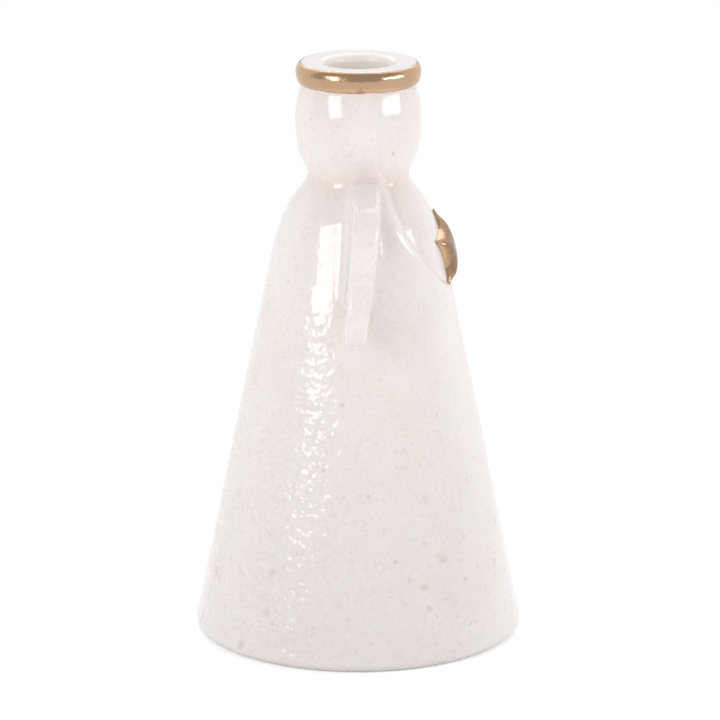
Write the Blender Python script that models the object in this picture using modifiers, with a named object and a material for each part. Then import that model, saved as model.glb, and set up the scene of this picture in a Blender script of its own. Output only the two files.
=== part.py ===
"""Angel candle holder: a hollow, slip-cast figure whose head is the socket for a dinner candle.

The whole object is one casting. A turned section makes the dress, neck, head, halo rim, candle socket, inner
cavity and foot. Wings, arms and the star on the chest are joined to it. Metres, +Z up; the figure faces -Y and
the origin is the centre of its foot, on the surface that it stands on.
"""

import math

import bmesh
import bpy
from mathutils import Vector

# Dress: a straight cone from the rounded hem to the top of the skirt.
HEM_RADIUS = 0.0553
HEM_ROUND = 0.003
SKIRT_HEIGHT = 0.132
SKIRT_TOP_RADIUS = 0.0286

# Shoulder, neck and head, stacked on the skirt.
SHOULDER_RISE = 0.0254
SHOULDER_SLOPE = math.radians(40.0)
NECK_RADIUS = 0.0168
NECK_FILLET = 0.0025
CHIN_SLOPE = math.radians(29.0)
FACE_RISE = 0.0182
HEAD_SWELL = 0.0043
CROWN_RISE = 0.0118
CROWN_DRAW = 0.0021
CROWN_SLOPE = math.radians(19.0)

# Halo: the rim rolled outwards round the mouth of the socket.
HALO_RISE = 0.0076
HALO_SWELL = 0.0018
HALO_BELLY_RISE = 0.0047
HALO_TOP_ROUND = 0.0021
HALO_UNDERSIDE_SLOPE = math.radians(35.0)

# Socket for a 22 mm dinner candle.
CANDLE_RADIUS = 0.011
CANDLE_CLEARANCE = 0.0004
SOCKET_DEPTH = 0.025
SOCKET_FILLET = 0.0015
LIP_ROUND = 0.002

# Hollow inside, and the foot that it is drained through.
WALL = 0.0045
BASE_THICKNESS = 0.0045
SOCKET_FLOOR_THICKNESS = 0.0055
CAVITY_DOME_RISE = 0.006
CAVITY_FILLET = 0.003
FOOT_WIDTH = 0.006
FOOT_RECESS = 0.0015
DRAIN_RADIUS = 0.006

# Wings: thick round-edged plates that leave the body at its sides.
WING_THICKNESS = 0.0093
WING_EDGE_ROUND = 0.0026
WING_TIP_THINNING = 0.24
WING_REACH = 0.0205
WING_BELOW_NECK = 0.0019
WING_DROP = 0.0482
WING_CREST_INSET = 0.0102
WING_CORNER_INSET = 0.0008
WING_CORNER_DROP = 0.0082
WING_WAIST_INSET = 0.002
WING_WAIST_DROP = 0.0225
WING_TIP_WIDTH = 0.0105
WING_TIP_ROUND = 0.0045
WING_HEEL_RISE = 0.017
WING_ROOT_SINK = 0.006
WING_FORWARD = 0.0017
WING_SWEEP = math.radians(5.3)

# Arms: tapered sleeves in relief from the shoulders to the lower points of the star.
SLEEVE_RADIUS = 0.0058
HAND_RADIUS = 0.0036
SLEEVE_SINK = 0.0008
HAND_SINK = 0.0012
HAND_ROUNDING = 0.09
HAND_END_FLAT = 0.02
ARM_ROOT_ANGLE = math.radians(86.0)
ARM_ELBOW_ANGLE = math.radians(59.0)
HAND_ANGLE = math.radians(24.0)
ARM_ROOT_BELOW_NECK = 0.0084
ARM_ELBOW_BELOW_NECK = 0.0314
HAND_BELOW_NECK = 0.0394

# Star: a puffed five-pointed star that follows the round of the chest.
STAR_POINTS = 5
STAR_RADIUS = 0.0146
STAR_NOTCH_RADIUS = 0.0074
STAR_CROWN = 0.0038
STAR_SHOULDER = 0.0032
STAR_SHOULDER_SHARE = 0.62
STAR_EDGE = 0.0012
STAR_SINK = 0.002
STAR_POINT_CREASE = 0.9

# The star's centre lies this far below the neck.
STAR_BELOW_NECK = 0.0264

# Colours of the glaze and of the painted gold.
IVORY = (0.86, 0.79, 0.75)
GLAZE_ROUGHNESS = 0.12
GOLD = (0.58, 0.37, 0.19)
GOLD_ROUGHNESS = 0.22

# Fineness of the faceted solid.
TURN_STEPS = 56
ROUND_FACET = 0.0011
CURVE_FACET = 0.004
CURVE_HANDLE = 0.36
ARM_STEPS = 12
ARM_BEVEL_RESOLUTION = 4
WING_EDGE_RESOLUTION = 2
WING_OUTLINE_RESOLUTION = 6
STAR_SMOOTHING = 2
SHARP_ANGLE = math.radians(35.0)
MERGE = 0.00005

NECK_HEIGHT = SKIRT_HEIGHT + SHOULDER_RISE
HEAD_HEIGHT = NECK_HEIGHT + FACE_RISE
COLLAR_HEIGHT = HEAD_HEIGHT + CROWN_RISE
TOTAL_HEIGHT = COLLAR_HEIGHT + HALO_RISE
HEAD_RADIUS = NECK_RADIUS + HEAD_SWELL
COLLAR_RADIUS = HEAD_RADIUS - CROWN_DRAW
HALO_RADIUS = COLLAR_RADIUS + HALO_SWELL
SOCKET_RADIUS = CANDLE_RADIUS + CANDLE_CLEARANCE
SOCKET_FLOOR = TOTAL_HEIGHT - SOCKET_DEPTH
CAVITY_FLOOR = FOOT_RECESS + BASE_THICKNESS


def clear_scene():
    """Removes what the startup scene holds."""
    for obj in list(bpy.data.objects):
        bpy.data.objects.remove(obj)


def new_collection(name):
    """A collection in the scene."""
    collection = bpy.data.collections.new(name)
    bpy.context.scene.collection.children.link(collection)
    return collection


def new_material(name, colour, roughness, metallic=0.0):
    """A Principled BSDF of one colour."""
    material = bpy.data.materials.new(name)
    material.use_nodes = True
    shader = material.node_tree.nodes["Principled BSDF"]
    shader.inputs["Base Color"].default_value = (*colour, 1.0)
    shader.inputs["Roughness"].default_value = roughness
    shader.inputs["Metallic"].default_value = metallic
    material.diffuse_color = (*colour, 1.0)
    return material


def direction(angle):
    """Unit vector in the (radius, height) plane, its angle measured up from the radius."""
    return Vector((math.cos(angle), math.sin(angle)))


def arc(centre, radius, start, end):
    """Points of a circular arc in the (radius, height) plane."""
    steps = max(2, round(radius * abs(end - start) / ROUND_FACET))
    angles = [start + (end - start) * i / steps for i in range(steps + 1)]
    return [centre + radius * direction(angle) for angle in angles]


def fair(start, leaving, end, arriving, facet=CURVE_FACET):
    """Points of a cubic that leaves and arrives along the given directions, without its first point."""
    steps = max(3, math.ceil((end - start).length / facet))
    reach = CURVE_HANDLE * (end - start).length
    first = start + reach * leaving
    second = end - reach * arriving
    points = []
    for i in range(1, steps + 1):
        t = i / steps
        s = 1.0 - t
        points.append(s**3 * start + 3 * s * s * t * first + 3 * s * t * t * second + t**3 * end)
    return points


def dress_profile():
    """Outer side of the hem, skirt, shoulder and neck, from the foot up, as (radius, height) points."""
    hem_centre = Vector((HEM_RADIUS - HEM_ROUND, HEM_ROUND))
    skirt_top = Vector((SKIRT_TOP_RADIUS, SKIRT_HEIGHT))
    to_top = skirt_top - hem_centre
    lean = math.atan2(to_top.y, to_top.x) - math.acos(HEM_ROUND / to_top.length)
    up_the_skirt = direction(lean + math.pi / 2)
    neck_centre = Vector((NECK_RADIUS + NECK_FILLET, NECK_HEIGHT))
    neck = arc(neck_centre, NECK_FILLET, math.pi + SHOULDER_SLOPE, math.pi - CHIN_SLOPE)
    profile = arc(hem_centre, HEM_ROUND, -math.pi / 2, lean)
    profile.append(skirt_top)
    profile += fair(skirt_top, up_the_skirt, neck[0], direction(math.pi / 2 + SHOULDER_SLOPE))
    return profile + neck[1:]


def head_profile():
    """Outer side of the head, from just above the neck to the collar under the halo."""
    neck_centre = Vector((NECK_RADIUS + NECK_FILLET, NECK_HEIGHT))
    chin = neck_centre + NECK_FILLET * direction(math.pi - CHIN_SLOPE)
    cheek = Vector((HEAD_RADIUS, HEAD_HEIGHT))
    collar = Vector((COLLAR_RADIUS, COLLAR_HEIGHT))
    upright = direction(math.pi / 2)
    lower = fair(chin, direction(math.pi / 2 - CHIN_SLOPE), cheek, upright)
    return lower + fair(cheek, upright, collar, direction(math.pi / 2 + CROWN_SLOPE))


def halo_profile():
    """Outer side of the rolled halo, from the collar over its belly to the flat top."""
    collar = Vector((COLLAR_RADIUS, COLLAR_HEIGHT))
    belly = Vector((HALO_RADIUS, COLLAR_HEIGHT + HALO_BELLY_RISE))
    top = Vector((HALO_RADIUS - HALO_TOP_ROUND, TOTAL_HEIGHT))
    upright = direction(math.pi / 2)
    lower = fair(collar, direction(HALO_UNDERSIDE_SLOPE), belly, upright, ROUND_FACET)
    return lower + fair(belly, upright, top, direction(math.pi), ROUND_FACET)


def socket_profile():
    """The lip, bore and floor of the candle socket, from the top down to the axis."""
    lip = arc(Vector((SOCKET_RADIUS + LIP_ROUND, TOTAL_HEIGHT - LIP_ROUND)), LIP_ROUND, math.pi / 2, math.pi)
    corner = Vector((SOCKET_RADIUS - SOCKET_FILLET, SOCKET_FLOOR + SOCKET_FILLET))
    floor = arc(corner, SOCKET_FILLET, 0.0, -math.pi / 2)
    return lip + floor + [Vector((0.0, SOCKET_FLOOR))]


def foot_profile():
    """The recess inside the standing ring and the drain hole, from below the foot up to the cavity's floor."""
    ring_inner = HEM_RADIUS - HEM_ROUND - FOOT_WIDTH
    return [
        Vector((0.0, -FOOT_RECESS)),
        Vector((ring_inner + FOOT_RECESS, -FOOT_RECESS)),
        Vector((ring_inner - FOOT_RECESS, FOOT_RECESS)),
        Vector((DRAIN_RADIUS, FOOT_RECESS)),
        Vector((DRAIN_RADIUS, CAVITY_FLOOR)),
    ]


def inset(profile, distance):
    """The profile moved inwards by a wall's thickness, each point along its own normal."""
    moved = []
    for before, point, after in zip(profile, profile[1:], profile[2:]):
        along = (after - before).normalized()
        moved.append(point + distance * Vector((-along.y, along.x)))
    return moved


def radius_at(profile, height):
    """Radius of a profile at a height, between its points."""
    for low, high in zip(profile, profile[1:]):
        if low.y <= height <= high.y:
            return low.x + (high.x - low.x) * (height - low.y) / (high.y - low.y)
    raise ValueError(f"the profile doesn't reach a height of {height}")


def cavity_profile():
    """The inner wall from the drain hole's edge up to the dome under the candle socket."""
    dome_top = SOCKET_FLOOR - SOCKET_FLOOR_THICKNESS
    dome_foot = dome_top - CAVITY_DOME_RISE
    wall = inset(dress_profile() + head_profile(), WALL)
    corner_height = CAVITY_FLOOR + CAVITY_FILLET
    corner = Vector((radius_at(wall, corner_height) - CAVITY_FILLET, corner_height))
    profile = arc(corner, CAVITY_FILLET, -math.pi / 2, 0.0)
    profile += [point for point in wall if corner_height < point.y < dome_foot]
    dome_start = Vector((radius_at(wall, dome_foot), dome_foot))
    upright = direction(math.pi / 2)
    profile.append(dome_start)
    return profile + fair(dome_start, upright, Vector((0.0, dome_top)), direction(math.pi))


def casting_section():
    """The figure's section, from the axis at the socket's floor, up the bore and down the outside to its foot."""
    outside = dress_profile() + head_profile() + halo_profile()
    return socket_profile()[::-1] + outside[::-1] + [Vector((0.0, 0.0))]


def hollow_section():
    """The section of the space inside, from the top of its dome down to below the foot."""
    return (foot_profile() + cavity_profile())[::-1]


def outer_radius(height):
    """Radius of the dress at a height between the hem and the neck."""
    return radius_at(dress_profile(), height)


def on_body(angle, height, proud):
    """Point at an angle round from the front, a distance proud of the dress."""
    radius = outer_radius(height) + proud
    return Vector((radius * math.sin(angle), -radius * math.cos(angle), height))


def mesh_object(name, mesh, collection, *materials):
    """An object for a mesh, with its materials, in a collection."""
    obj = bpy.data.objects.new(name, mesh)
    for material in materials:
        mesh.materials.append(material)
    collection.objects.link(obj)
    return obj


def as_helper(obj):
    """Marks a shape that is only joined to the casting, so it isn't a part of its own."""
    obj.hide_render = True
    obj.display_type = "WIRE"
    return obj


def curve_to_mesh(curve_object):
    """Replaces a curve object by a mesh with its caps welded to its sides."""
    bpy.context.view_layer.update()
    evaluated = curve_object.evaluated_get(bpy.context.evaluated_depsgraph_get())
    mesh = bpy.data.meshes.new_from_object(evaluated)
    name = curve_object.name
    matrix = curve_object.matrix_world.copy()
    materials = list(curve_object.data.materials)
    collection = curve_object.users_collection[0]
    bpy.data.objects.remove(curve_object)
    form = bmesh.new()
    form.from_mesh(mesh)
    bmesh.ops.remove_doubles(form, verts=form.verts, dist=MERGE)
    bmesh.ops.recalc_face_normals(form, faces=form.faces)
    form.to_mesh(mesh)
    form.free()
    mesh.materials.clear()
    obj = mesh_object(name, mesh, collection, *materials)
    obj.matrix_world = matrix
    return obj


def mirror_across_body(obj):
    """Adds the same shape on the other side of the body."""
    mirror = obj.modifiers.new("both sides", "MIRROR")
    mirror.use_axis = (True, False, False)
    mirror.merge_threshold = MERGE
    return obj


def turned(name, section, collection, glaze):
    """A section turned round the axis."""
    form = bmesh.new()
    verts = [form.verts.new((point.x, 0.0, point.y)) for point in section]
    for first, second in zip(verts, verts[1:]):
        form.edges.new((first, second))
    mesh = bpy.data.meshes.new(name)
    form.to_mesh(mesh)
    form.free()
    obj = mesh_object(name, mesh, collection, glaze)
    screw = obj.modifiers.new("turn", "SCREW")
    screw.axis = "Z"
    screw.steps = TURN_STEPS
    screw.render_steps = TURN_STEPS
    screw.use_merge_vertices = True
    screw.merge_threshold = MERGE
    return as_helper(obj)


def wing_outline():
    """Core of the wing's outline as (distance from the axis, height), its round edge standing outside it."""
    edge = WING_EDGE_ROUND
    reach = SKIRT_TOP_RADIUS + WING_REACH - edge
    crest = NECK_HEIGHT - WING_BELOW_NECK - edge
    tip = NECK_HEIGHT - WING_DROP + edge
    inner_tip = reach - (WING_TIP_WIDTH - 2 * edge)
    shoulder = crest - edge
    heel = tip + WING_HEEL_RISE
    return [
        Vector((outer_radius(shoulder) - WING_ROOT_SINK, shoulder)),
        Vector((reach - WING_CREST_INSET, crest)),
        Vector((reach - WING_CORNER_INSET, crest - WING_CORNER_DROP)),
        Vector((reach - WING_WAIST_INSET, crest - WING_WAIST_DROP)),
        Vector((reach, tip + WING_TIP_ROUND)),
        Vector(((reach + inner_tip) / 2, tip)),
        Vector((inner_tip, tip + WING_TIP_ROUND)),
        Vector((outer_radius(heel) - WING_ROOT_SINK + edge, heel)),
        Vector((outer_radius(heel) - WING_ROOT_SINK, heel + edge)),
    ]


def wings(collection, glaze):
    """Both wings: a flat outline with rounded edges, thinner and swept back towards the tip."""
    curve = bpy.data.curves.new("wings", "CURVE")
    curve.dimensions = "2D"
    curve.fill_mode = "BOTH"
    curve.resolution_u = WING_OUTLINE_RESOLUTION
    curve.bevel_depth = WING_EDGE_ROUND
    curve.extrude = WING_THICKNESS / 2 - WING_EDGE_ROUND
    curve.bevel_resolution = WING_EDGE_RESOLUTION
    outline = wing_outline()
    spline = curve.splines.new("BEZIER")
    spline.bezier_points.add(len(outline) - 1)
    for point, place in zip(spline.bezier_points, outline):
        point.co = (place.x, place.y, 0.0)
        point.handle_left_type = "AUTO"
        point.handle_right_type = "AUTO"
    spline.use_cyclic_u = True
    curve.materials.append(glaze)
    flat = bpy.data.objects.new("wings", curve)
    collection.objects.link(flat)
    both = curve_to_mesh(flat)
    for vert in both.data.vertices:
        across, height, through = vert.co
        below = NECK_HEIGHT - height
        depth = through * (1.0 - WING_TIP_THINNING * below / WING_DROP)
        vert.co = (across, depth - WING_FORWARD + below * math.tan(WING_SWEEP), height)
    repair_normals(both.data)
    return as_helper(mirror_across_body(both))


def repair_normals(mesh):
    """Turns every face of a closed mesh outwards."""
    form = bmesh.new()
    form.from_mesh(mesh)
    bmesh.ops.recalc_face_normals(form, faces=form.faces)
    form.to_mesh(mesh)
    form.free()


def arms(collection, glaze):
    """Both arms: a tapered tube bent round the body, its hand end rounded."""
    curve = bpy.data.curves.new("arms", "CURVE")
    curve.dimensions = "3D"
    curve.bevel_depth = SLEEVE_RADIUS
    curve.bevel_resolution = ARM_BEVEL_RESOLUTION
    curve.use_fill_caps = True
    spline = curve.splines.new("POLY")
    spline.points.add(ARM_STEPS)
    angles = (ARM_ROOT_ANGLE, ARM_ELBOW_ANGLE, HAND_ANGLE)
    drops = (ARM_ROOT_BELOW_NECK, ARM_ELBOW_BELOW_NECK, HAND_BELOW_NECK)
    for i, point in enumerate(spline.points):
        t = math.sin(math.pi / 2 * i / ARM_STEPS)
        weights = ((1 - t) ** 2, 2 * t * (1 - t), t * t)
        angle = sum(w * a for w, a in zip(weights, angles))
        height = NECK_HEIGHT - sum(w * d for w, d in zip(weights, drops))
        radius = SLEEVE_RADIUS + (HAND_RADIUS - SLEEVE_RADIUS) * t
        sink = SLEEVE_SINK + (HAND_SINK - SLEEVE_SINK) * t
        rounding = min(1.0, (1.0 + HAND_END_FLAT - t) / HAND_ROUNDING)
        place = on_body(-angle, height, -sink)
        point.co = (*place, 1.0)
        point.radius = radius / SLEEVE_RADIUS * math.sqrt(rounding * (2.0 - rounding))
    curve.materials.append(glaze)
    tube = bpy.data.objects.new("arms", curve)
    collection.objects.link(tube)
    return as_helper(mirror_across_body(curve_to_mesh(tube)))


def star_ring(form, share, height):
    """A ring of vertices on the star's outline, drawn in by a share and laid on the chest at a height."""
    ring = []
    centre = NECK_HEIGHT - STAR_BELOW_NECK
    for i in range(2 * STAR_POINTS):
        radius = share * (STAR_NOTCH_RADIUS if i % 2 else STAR_RADIUS)
        angle = math.pi * i / STAR_POINTS
        across = radius * math.sin(angle)
        up = radius * math.cos(angle)
        turn = across / outer_radius(centre)
        ring.append(form.verts.new(on_body(turn, centre + up, height)))
    return ring


def star(collection, gold):
    """The star: rings of its outline from the sunk back over the edge to the crown, smoothed by subdivision."""
    form = bmesh.new()
    crease = form.verts.layers.float.new("crease_vert")
    centre = NECK_HEIGHT - STAR_BELOW_NECK
    rings = [
        star_ring(form, STAR_SHOULDER_SHARE, -STAR_SINK),
        star_ring(form, 1.0, -STAR_SINK),
        star_ring(form, 1.0, STAR_EDGE),
        star_ring(form, STAR_SHOULDER_SHARE, STAR_SHOULDER),
    ]
    back = form.verts.new(on_body(0.0, centre, -STAR_SINK))
    crown = form.verts.new(on_body(0.0, centre, STAR_CROWN))
    count = 2 * STAR_POINTS
    for low, high in zip(rings, rings[1:]):
        for i in range(count):
            form.faces.new((low[i], low[(i + 1) % count], high[(i + 1) % count], high[i]))
    for i in range(count):
        form.faces.new((back, rings[0][(i + 1) % count], rings[0][i]))
        form.faces.new((crown, rings[-1][i], rings[-1][(i + 1) % count]))
    bmesh.ops.recalc_face_normals(form, faces=form.faces)
    for ring in rings[1:3]:
        for tip in ring[::2]:
            tip[crease] = STAR_POINT_CREASE
    mesh = bpy.data.meshes.new("star")
    form.to_mesh(mesh)
    form.free()
    obj = mesh_object("star", mesh, collection, gold)
    subdivision = obj.modifiers.new("soften", "SUBSURF")
    subdivision.levels = STAR_SMOOTHING
    subdivision.render_levels = STAR_SMOOTHING
    return as_helper(obj)


def combine(body, shape, operation):
    """Joins a shape to the body or cuts it out, the shape keeping its own material."""
    boolean = body.modifiers.new(f"{operation.lower()} {shape.name}", "BOOLEAN")
    boolean.operation = operation
    boolean.solver = "EXACT"
    boolean.material_mode = "TRANSFER"
    boolean.object = shape


def finished_mesh(obj):
    """The mesh that an object's modifiers make."""
    bpy.context.view_layer.update()
    evaluated = obj.evaluated_get(bpy.context.evaluated_depsgraph_get())
    return bpy.data.meshes.new_from_object(evaluated)


def gild_halo(mesh, gold_index):
    """Gives the outer side of the halo roll the gold, from the collar to the edge of its flat top."""
    top_edge = HALO_RADIUS - HALO_TOP_ROUND
    for face in mesh.polygons:
        centre = face.center
        outward = math.hypot(centre.x, centre.y)
        if centre.z > COLLAR_HEIGHT and outward > top_edge - MERGE:
            face.material_index = gold_index


def main():
    """Builds the casting as one object."""
    clear_scene()
    holder = new_collection("angel_candle_holder")
    shapes = new_collection("joined_shapes")
    glaze = new_material("ivory_glaze", IVORY, GLAZE_ROUGHNESS)
    gold = new_material("gold_lustre", GOLD, GOLD_ROUGHNESS, metallic=1.0)
    figure = turned("turned_figure", casting_section(), shapes, glaze)
    for shape in (wings(shapes, glaze), arms(shapes, glaze), star(shapes, gold)):
        combine(figure, shape, "UNION")
    combine(figure, turned("hollow", hollow_section(), shapes, glaze), "DIFFERENCE")
    mesh = finished_mesh(figure)
    gold_index = [material.name for material in mesh.materials].index(gold.name)
    gild_halo(mesh, gold_index)
    casting = bpy.data.objects.new("angel_body", mesh)
    holder.objects.link(casting)
    mesh.shade_smooth()
    mesh.set_sharp_from_angle(angle=SHARP_ANGLE)


main()
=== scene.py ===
"""Looks of the angel candle holder: a glazed casting with a painted gold halo and a gold star.

The casting is modelled as one soft form, as slip leaves it: a turned body, wings and arms are blended
into each other, and the hollow is cut from below. The gold is a painted film on the halo and on the star.
Everything is in metres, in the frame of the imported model, and the figure faces -Y.
"""

import logging
import math
from collections.abc import Callable
from dataclasses import dataclass
from enum import Enum

import bmesh
import bpy
import numpy as np
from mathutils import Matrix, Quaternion, Vector

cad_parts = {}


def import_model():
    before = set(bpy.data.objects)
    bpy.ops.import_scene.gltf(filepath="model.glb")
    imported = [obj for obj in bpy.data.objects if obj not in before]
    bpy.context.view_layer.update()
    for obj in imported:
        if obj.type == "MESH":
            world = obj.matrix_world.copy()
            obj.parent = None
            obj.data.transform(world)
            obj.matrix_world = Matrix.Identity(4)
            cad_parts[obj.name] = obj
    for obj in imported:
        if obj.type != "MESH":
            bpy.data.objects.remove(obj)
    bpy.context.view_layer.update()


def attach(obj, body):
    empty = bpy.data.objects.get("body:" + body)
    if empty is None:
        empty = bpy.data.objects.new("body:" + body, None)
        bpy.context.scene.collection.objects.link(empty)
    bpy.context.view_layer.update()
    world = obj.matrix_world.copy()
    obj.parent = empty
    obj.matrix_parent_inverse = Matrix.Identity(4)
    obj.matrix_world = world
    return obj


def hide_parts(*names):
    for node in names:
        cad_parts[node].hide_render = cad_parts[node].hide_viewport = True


LOG = logging.getLogger("angel_candle_holder")
WELD = 0.00002
SLOPE_STEP = 0.00004
WHITE = (1.0, 1.0, 1.0, 1.0)

Array = np.ndarray
Socket = bpy.types.NodeSocket


# Curves in the (radius, height) plane


def heading(angle: float) -> Array:
    """Unit vector in the (radius, height) plane, its angle measured up from the radius."""
    return np.array((math.cos(angle), math.sin(angle)))


def steps_along(length: float, facet: float, fewest: int) -> int:
    """Number of steps along a length, none longer than a facet."""
    return max(fewest, math.ceil(length / facet))


def arc(centre: Array, radius: float, start: float, end: float, facet: float) -> Array:
    """Points of a circular arc.

    Args:
        centre: Centre of the arc.
        radius: Its radius.
        start: Angle of its first point.
        end: Angle of its last point.
        facet: Longest step between points.

    Returns:
        The points, one in each row.
    """
    steps = steps_along(radius * abs(end - start), facet, fewest=3)
    angles = np.linspace(start, end, steps + 1)[:, None]
    return centre + radius * np.hstack((np.cos(angles), np.sin(angles)))


def fair(start: Array, leaving: Array, end: Array, arriving: Array, handle: float, facet: float) -> Array:
    """Points of a cubic that leaves and arrives along given directions, without its first point.

    Args:
        start: First point.
        leaving: Unit direction at the first point.
        end: Last point.
        arriving: Unit direction at the last point.
        handle: Length of the handles as a share of the chord.
        facet: Longest step between points.

    Returns:
        The points, one in each row.
    """
    chord = float(np.linalg.norm(end - start))
    steps = steps_along(chord, facet, fewest=4)
    first = start + handle * chord * leaving
    second = end - handle * chord * arriving
    t = (np.arange(1, steps + 1) / steps)[:, None]
    s = 1.0 - t
    return s**3 * start + 3 * s * s * t * first + 3 * s * t * t * second + t**3 * end


def straight(start: Array, end: Array, facet: float) -> Array:
    """Points along a straight line, without its first point.

    Args:
        start: First point.
        end: Last point.
        facet: Longest step between points.

    Returns:
        The points, one in each row.
    """
    steps = steps_along(float(np.linalg.norm(end - start)), facet, fewest=1)
    t = (np.arange(1, steps + 1) / steps)[:, None]
    return start + t * (end - start)


@dataclass(frozen=True)
class TurnedBody:
    """Sizes and sections of everything on the figure that is turned round its axis."""

    hem_radius: float = 0.0553
    hem_round: float = 0.003
    skirt_height: float = 0.132
    skirt_top_radius: float = 0.0286
    shoulder_rise: float = 0.0254
    shoulder_slope: float = math.radians(40.0)
    neck_radius: float = 0.0168
    neck_fillet: float = 0.0045
    chin_slope: float = math.radians(29.0)
    face_rise: float = 0.0182
    head_swell: float = 0.0043
    crown_rise: float = 0.0118
    crown_draw: float = 0.0021
    crown_slope: float = math.radians(19.0)
    halo_rise: float = 0.0076
    halo_swell: float = 0.0018
    halo_belly_rise: float = 0.0047
    halo_top_round: float = 0.0021
    halo_underside_slope: float = math.radians(35.0)
    socket_radius: float = 0.0114
    socket_depth: float = 0.025
    socket_fillet: float = 0.0015
    lip_round: float = 0.002
    wall: float = 0.0045
    base_thickness: float = 0.0045
    socket_floor_thickness: float = 0.0055
    dome_rise: float = 0.006
    cavity_fillet: float = 0.003
    foot_width: float = 0.006
    foot_recess: float = 0.0015
    drain_radius: float = 0.006
    handle: float = 0.36
    facet: float = 0.00045

    @property
    def neck_height(self) -> float:
        """Height of the crease between shoulder and chin."""
        return self.skirt_height + self.shoulder_rise

    @property
    def head_height(self) -> float:
        """Height at which the head is widest."""
        return self.neck_height + self.face_rise

    @property
    def collar_height(self) -> float:
        """Height of the groove under the halo."""
        return self.head_height + self.crown_rise

    @property
    def total_height(self) -> float:
        """Height of the flat top of the halo."""
        return self.collar_height + self.halo_rise

    @property
    def head_radius(self) -> float:
        """Largest radius of the head."""
        return self.neck_radius + self.head_swell

    @property
    def collar_radius(self) -> float:
        """Radius of the groove under the halo."""
        return self.head_radius - self.crown_draw

    @property
    def halo_radius(self) -> float:
        """Largest radius of the halo."""
        return self.collar_radius + self.halo_swell

    @property
    def socket_floor(self) -> float:
        """Height of the floor that the candle stands on."""
        return self.total_height - self.socket_depth

    @property
    def neck_centre(self) -> Array:
        """Centre of the crease's fillet."""
        return np.array((self.neck_radius + self.neck_fillet, self.neck_height))

    def dress(self) -> Array:
        """Outer side of the hem, skirt, shoulder and neck, from the foot up.

        Returns:
            The points, one in each row.
        """
        hem = np.array((self.hem_radius - self.hem_round, self.hem_round))
        top = np.array((self.skirt_top_radius, self.skirt_height))
        along = top - hem
        lean = math.atan2(along[1], along[0]) - math.acos(self.hem_round / float(np.linalg.norm(along)))
        rising = heading(lean + math.pi / 2)
        from_shoulder = math.pi + self.shoulder_slope
        to_chin = math.pi - self.chin_slope
        neck = arc(self.neck_centre, self.neck_fillet, from_shoulder, to_chin, self.facet)
        hem_arc = arc(hem, self.hem_round, -math.pi / 2, lean, self.facet)
        into_neck = heading(math.pi / 2 + self.shoulder_slope)
        return np.vstack(
            (
                hem_arc,
                straight(hem_arc[-1], top, 4 * self.facet),
                fair(top, rising, neck[0], into_neck, self.handle, self.facet),
                neck[1:],
            )
        )

    def head(self) -> Array:
        """Outer side of the head, from just above the neck to the groove under the halo.

        Returns:
            The points, one in each row.
        """
        chin = self.neck_centre + self.neck_fillet * heading(math.pi - self.chin_slope)
        cheek = np.array((self.head_radius, self.head_height))
        collar = np.array((self.collar_radius, self.collar_height))
        upright = heading(math.pi / 2)
        rising = heading(math.pi / 2 - self.chin_slope)
        closing = heading(math.pi / 2 + self.crown_slope)
        return np.vstack(
            (
                fair(chin, rising, cheek, upright, self.handle, self.facet),
                fair(cheek, upright, collar, closing, self.handle, self.facet),
            )
        )

    def halo(self) -> Array:
        """Outer side of the rolled halo, from the groove over its belly to its flat top.

        Returns:
            The points, one in each row.
        """
        collar = np.array((self.collar_radius, self.collar_height))
        belly = np.array((self.halo_radius, self.collar_height + self.halo_belly_rise))
        top = np.array((self.halo_radius - self.halo_top_round, self.total_height))
        upright = heading(math.pi / 2)
        swelling = heading(self.halo_underside_slope)
        return np.vstack(
            (
                fair(collar, swelling, belly, upright, self.handle, self.facet),
                fair(belly, upright, top, heading(math.pi), self.handle, self.facet),
            )
        )

    def socket(self) -> Array:
        """Lip, bore and floor of the candle socket, from the top down to the axis.

        Returns:
            The points, one in each row.
        """
        lip_centre = np.array((self.socket_radius + self.lip_round, self.total_height - self.lip_round))
        lip = arc(lip_centre, self.lip_round, math.pi / 2, math.pi, self.facet)
        corner = np.array((self.socket_radius - self.socket_fillet, self.socket_floor + self.socket_fillet))
        floor = arc(corner, self.socket_fillet, 0.0, -math.pi / 2, self.facet)
        axis = np.array((0.0, self.socket_floor))
        bore = straight(lip[-1], floor[0], 2 * self.facet)
        return np.vstack((lip, bore, floor[1:], straight(floor[-1], axis, 4 * self.facet)))

    def casting(self) -> Array:
        """Section of the solid figure: up the bore, down the outside and back to the axis at the foot.

        Returns:
            The points, one in each row.
        """
        outside = np.vstack((self.dress(), self.head(), self.halo()))
        foot = straight(outside[0], np.array((0.0, 0.0)), 8 * self.facet)
        return np.vstack((self.socket()[::-1], outside[::-1], foot))

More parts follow.
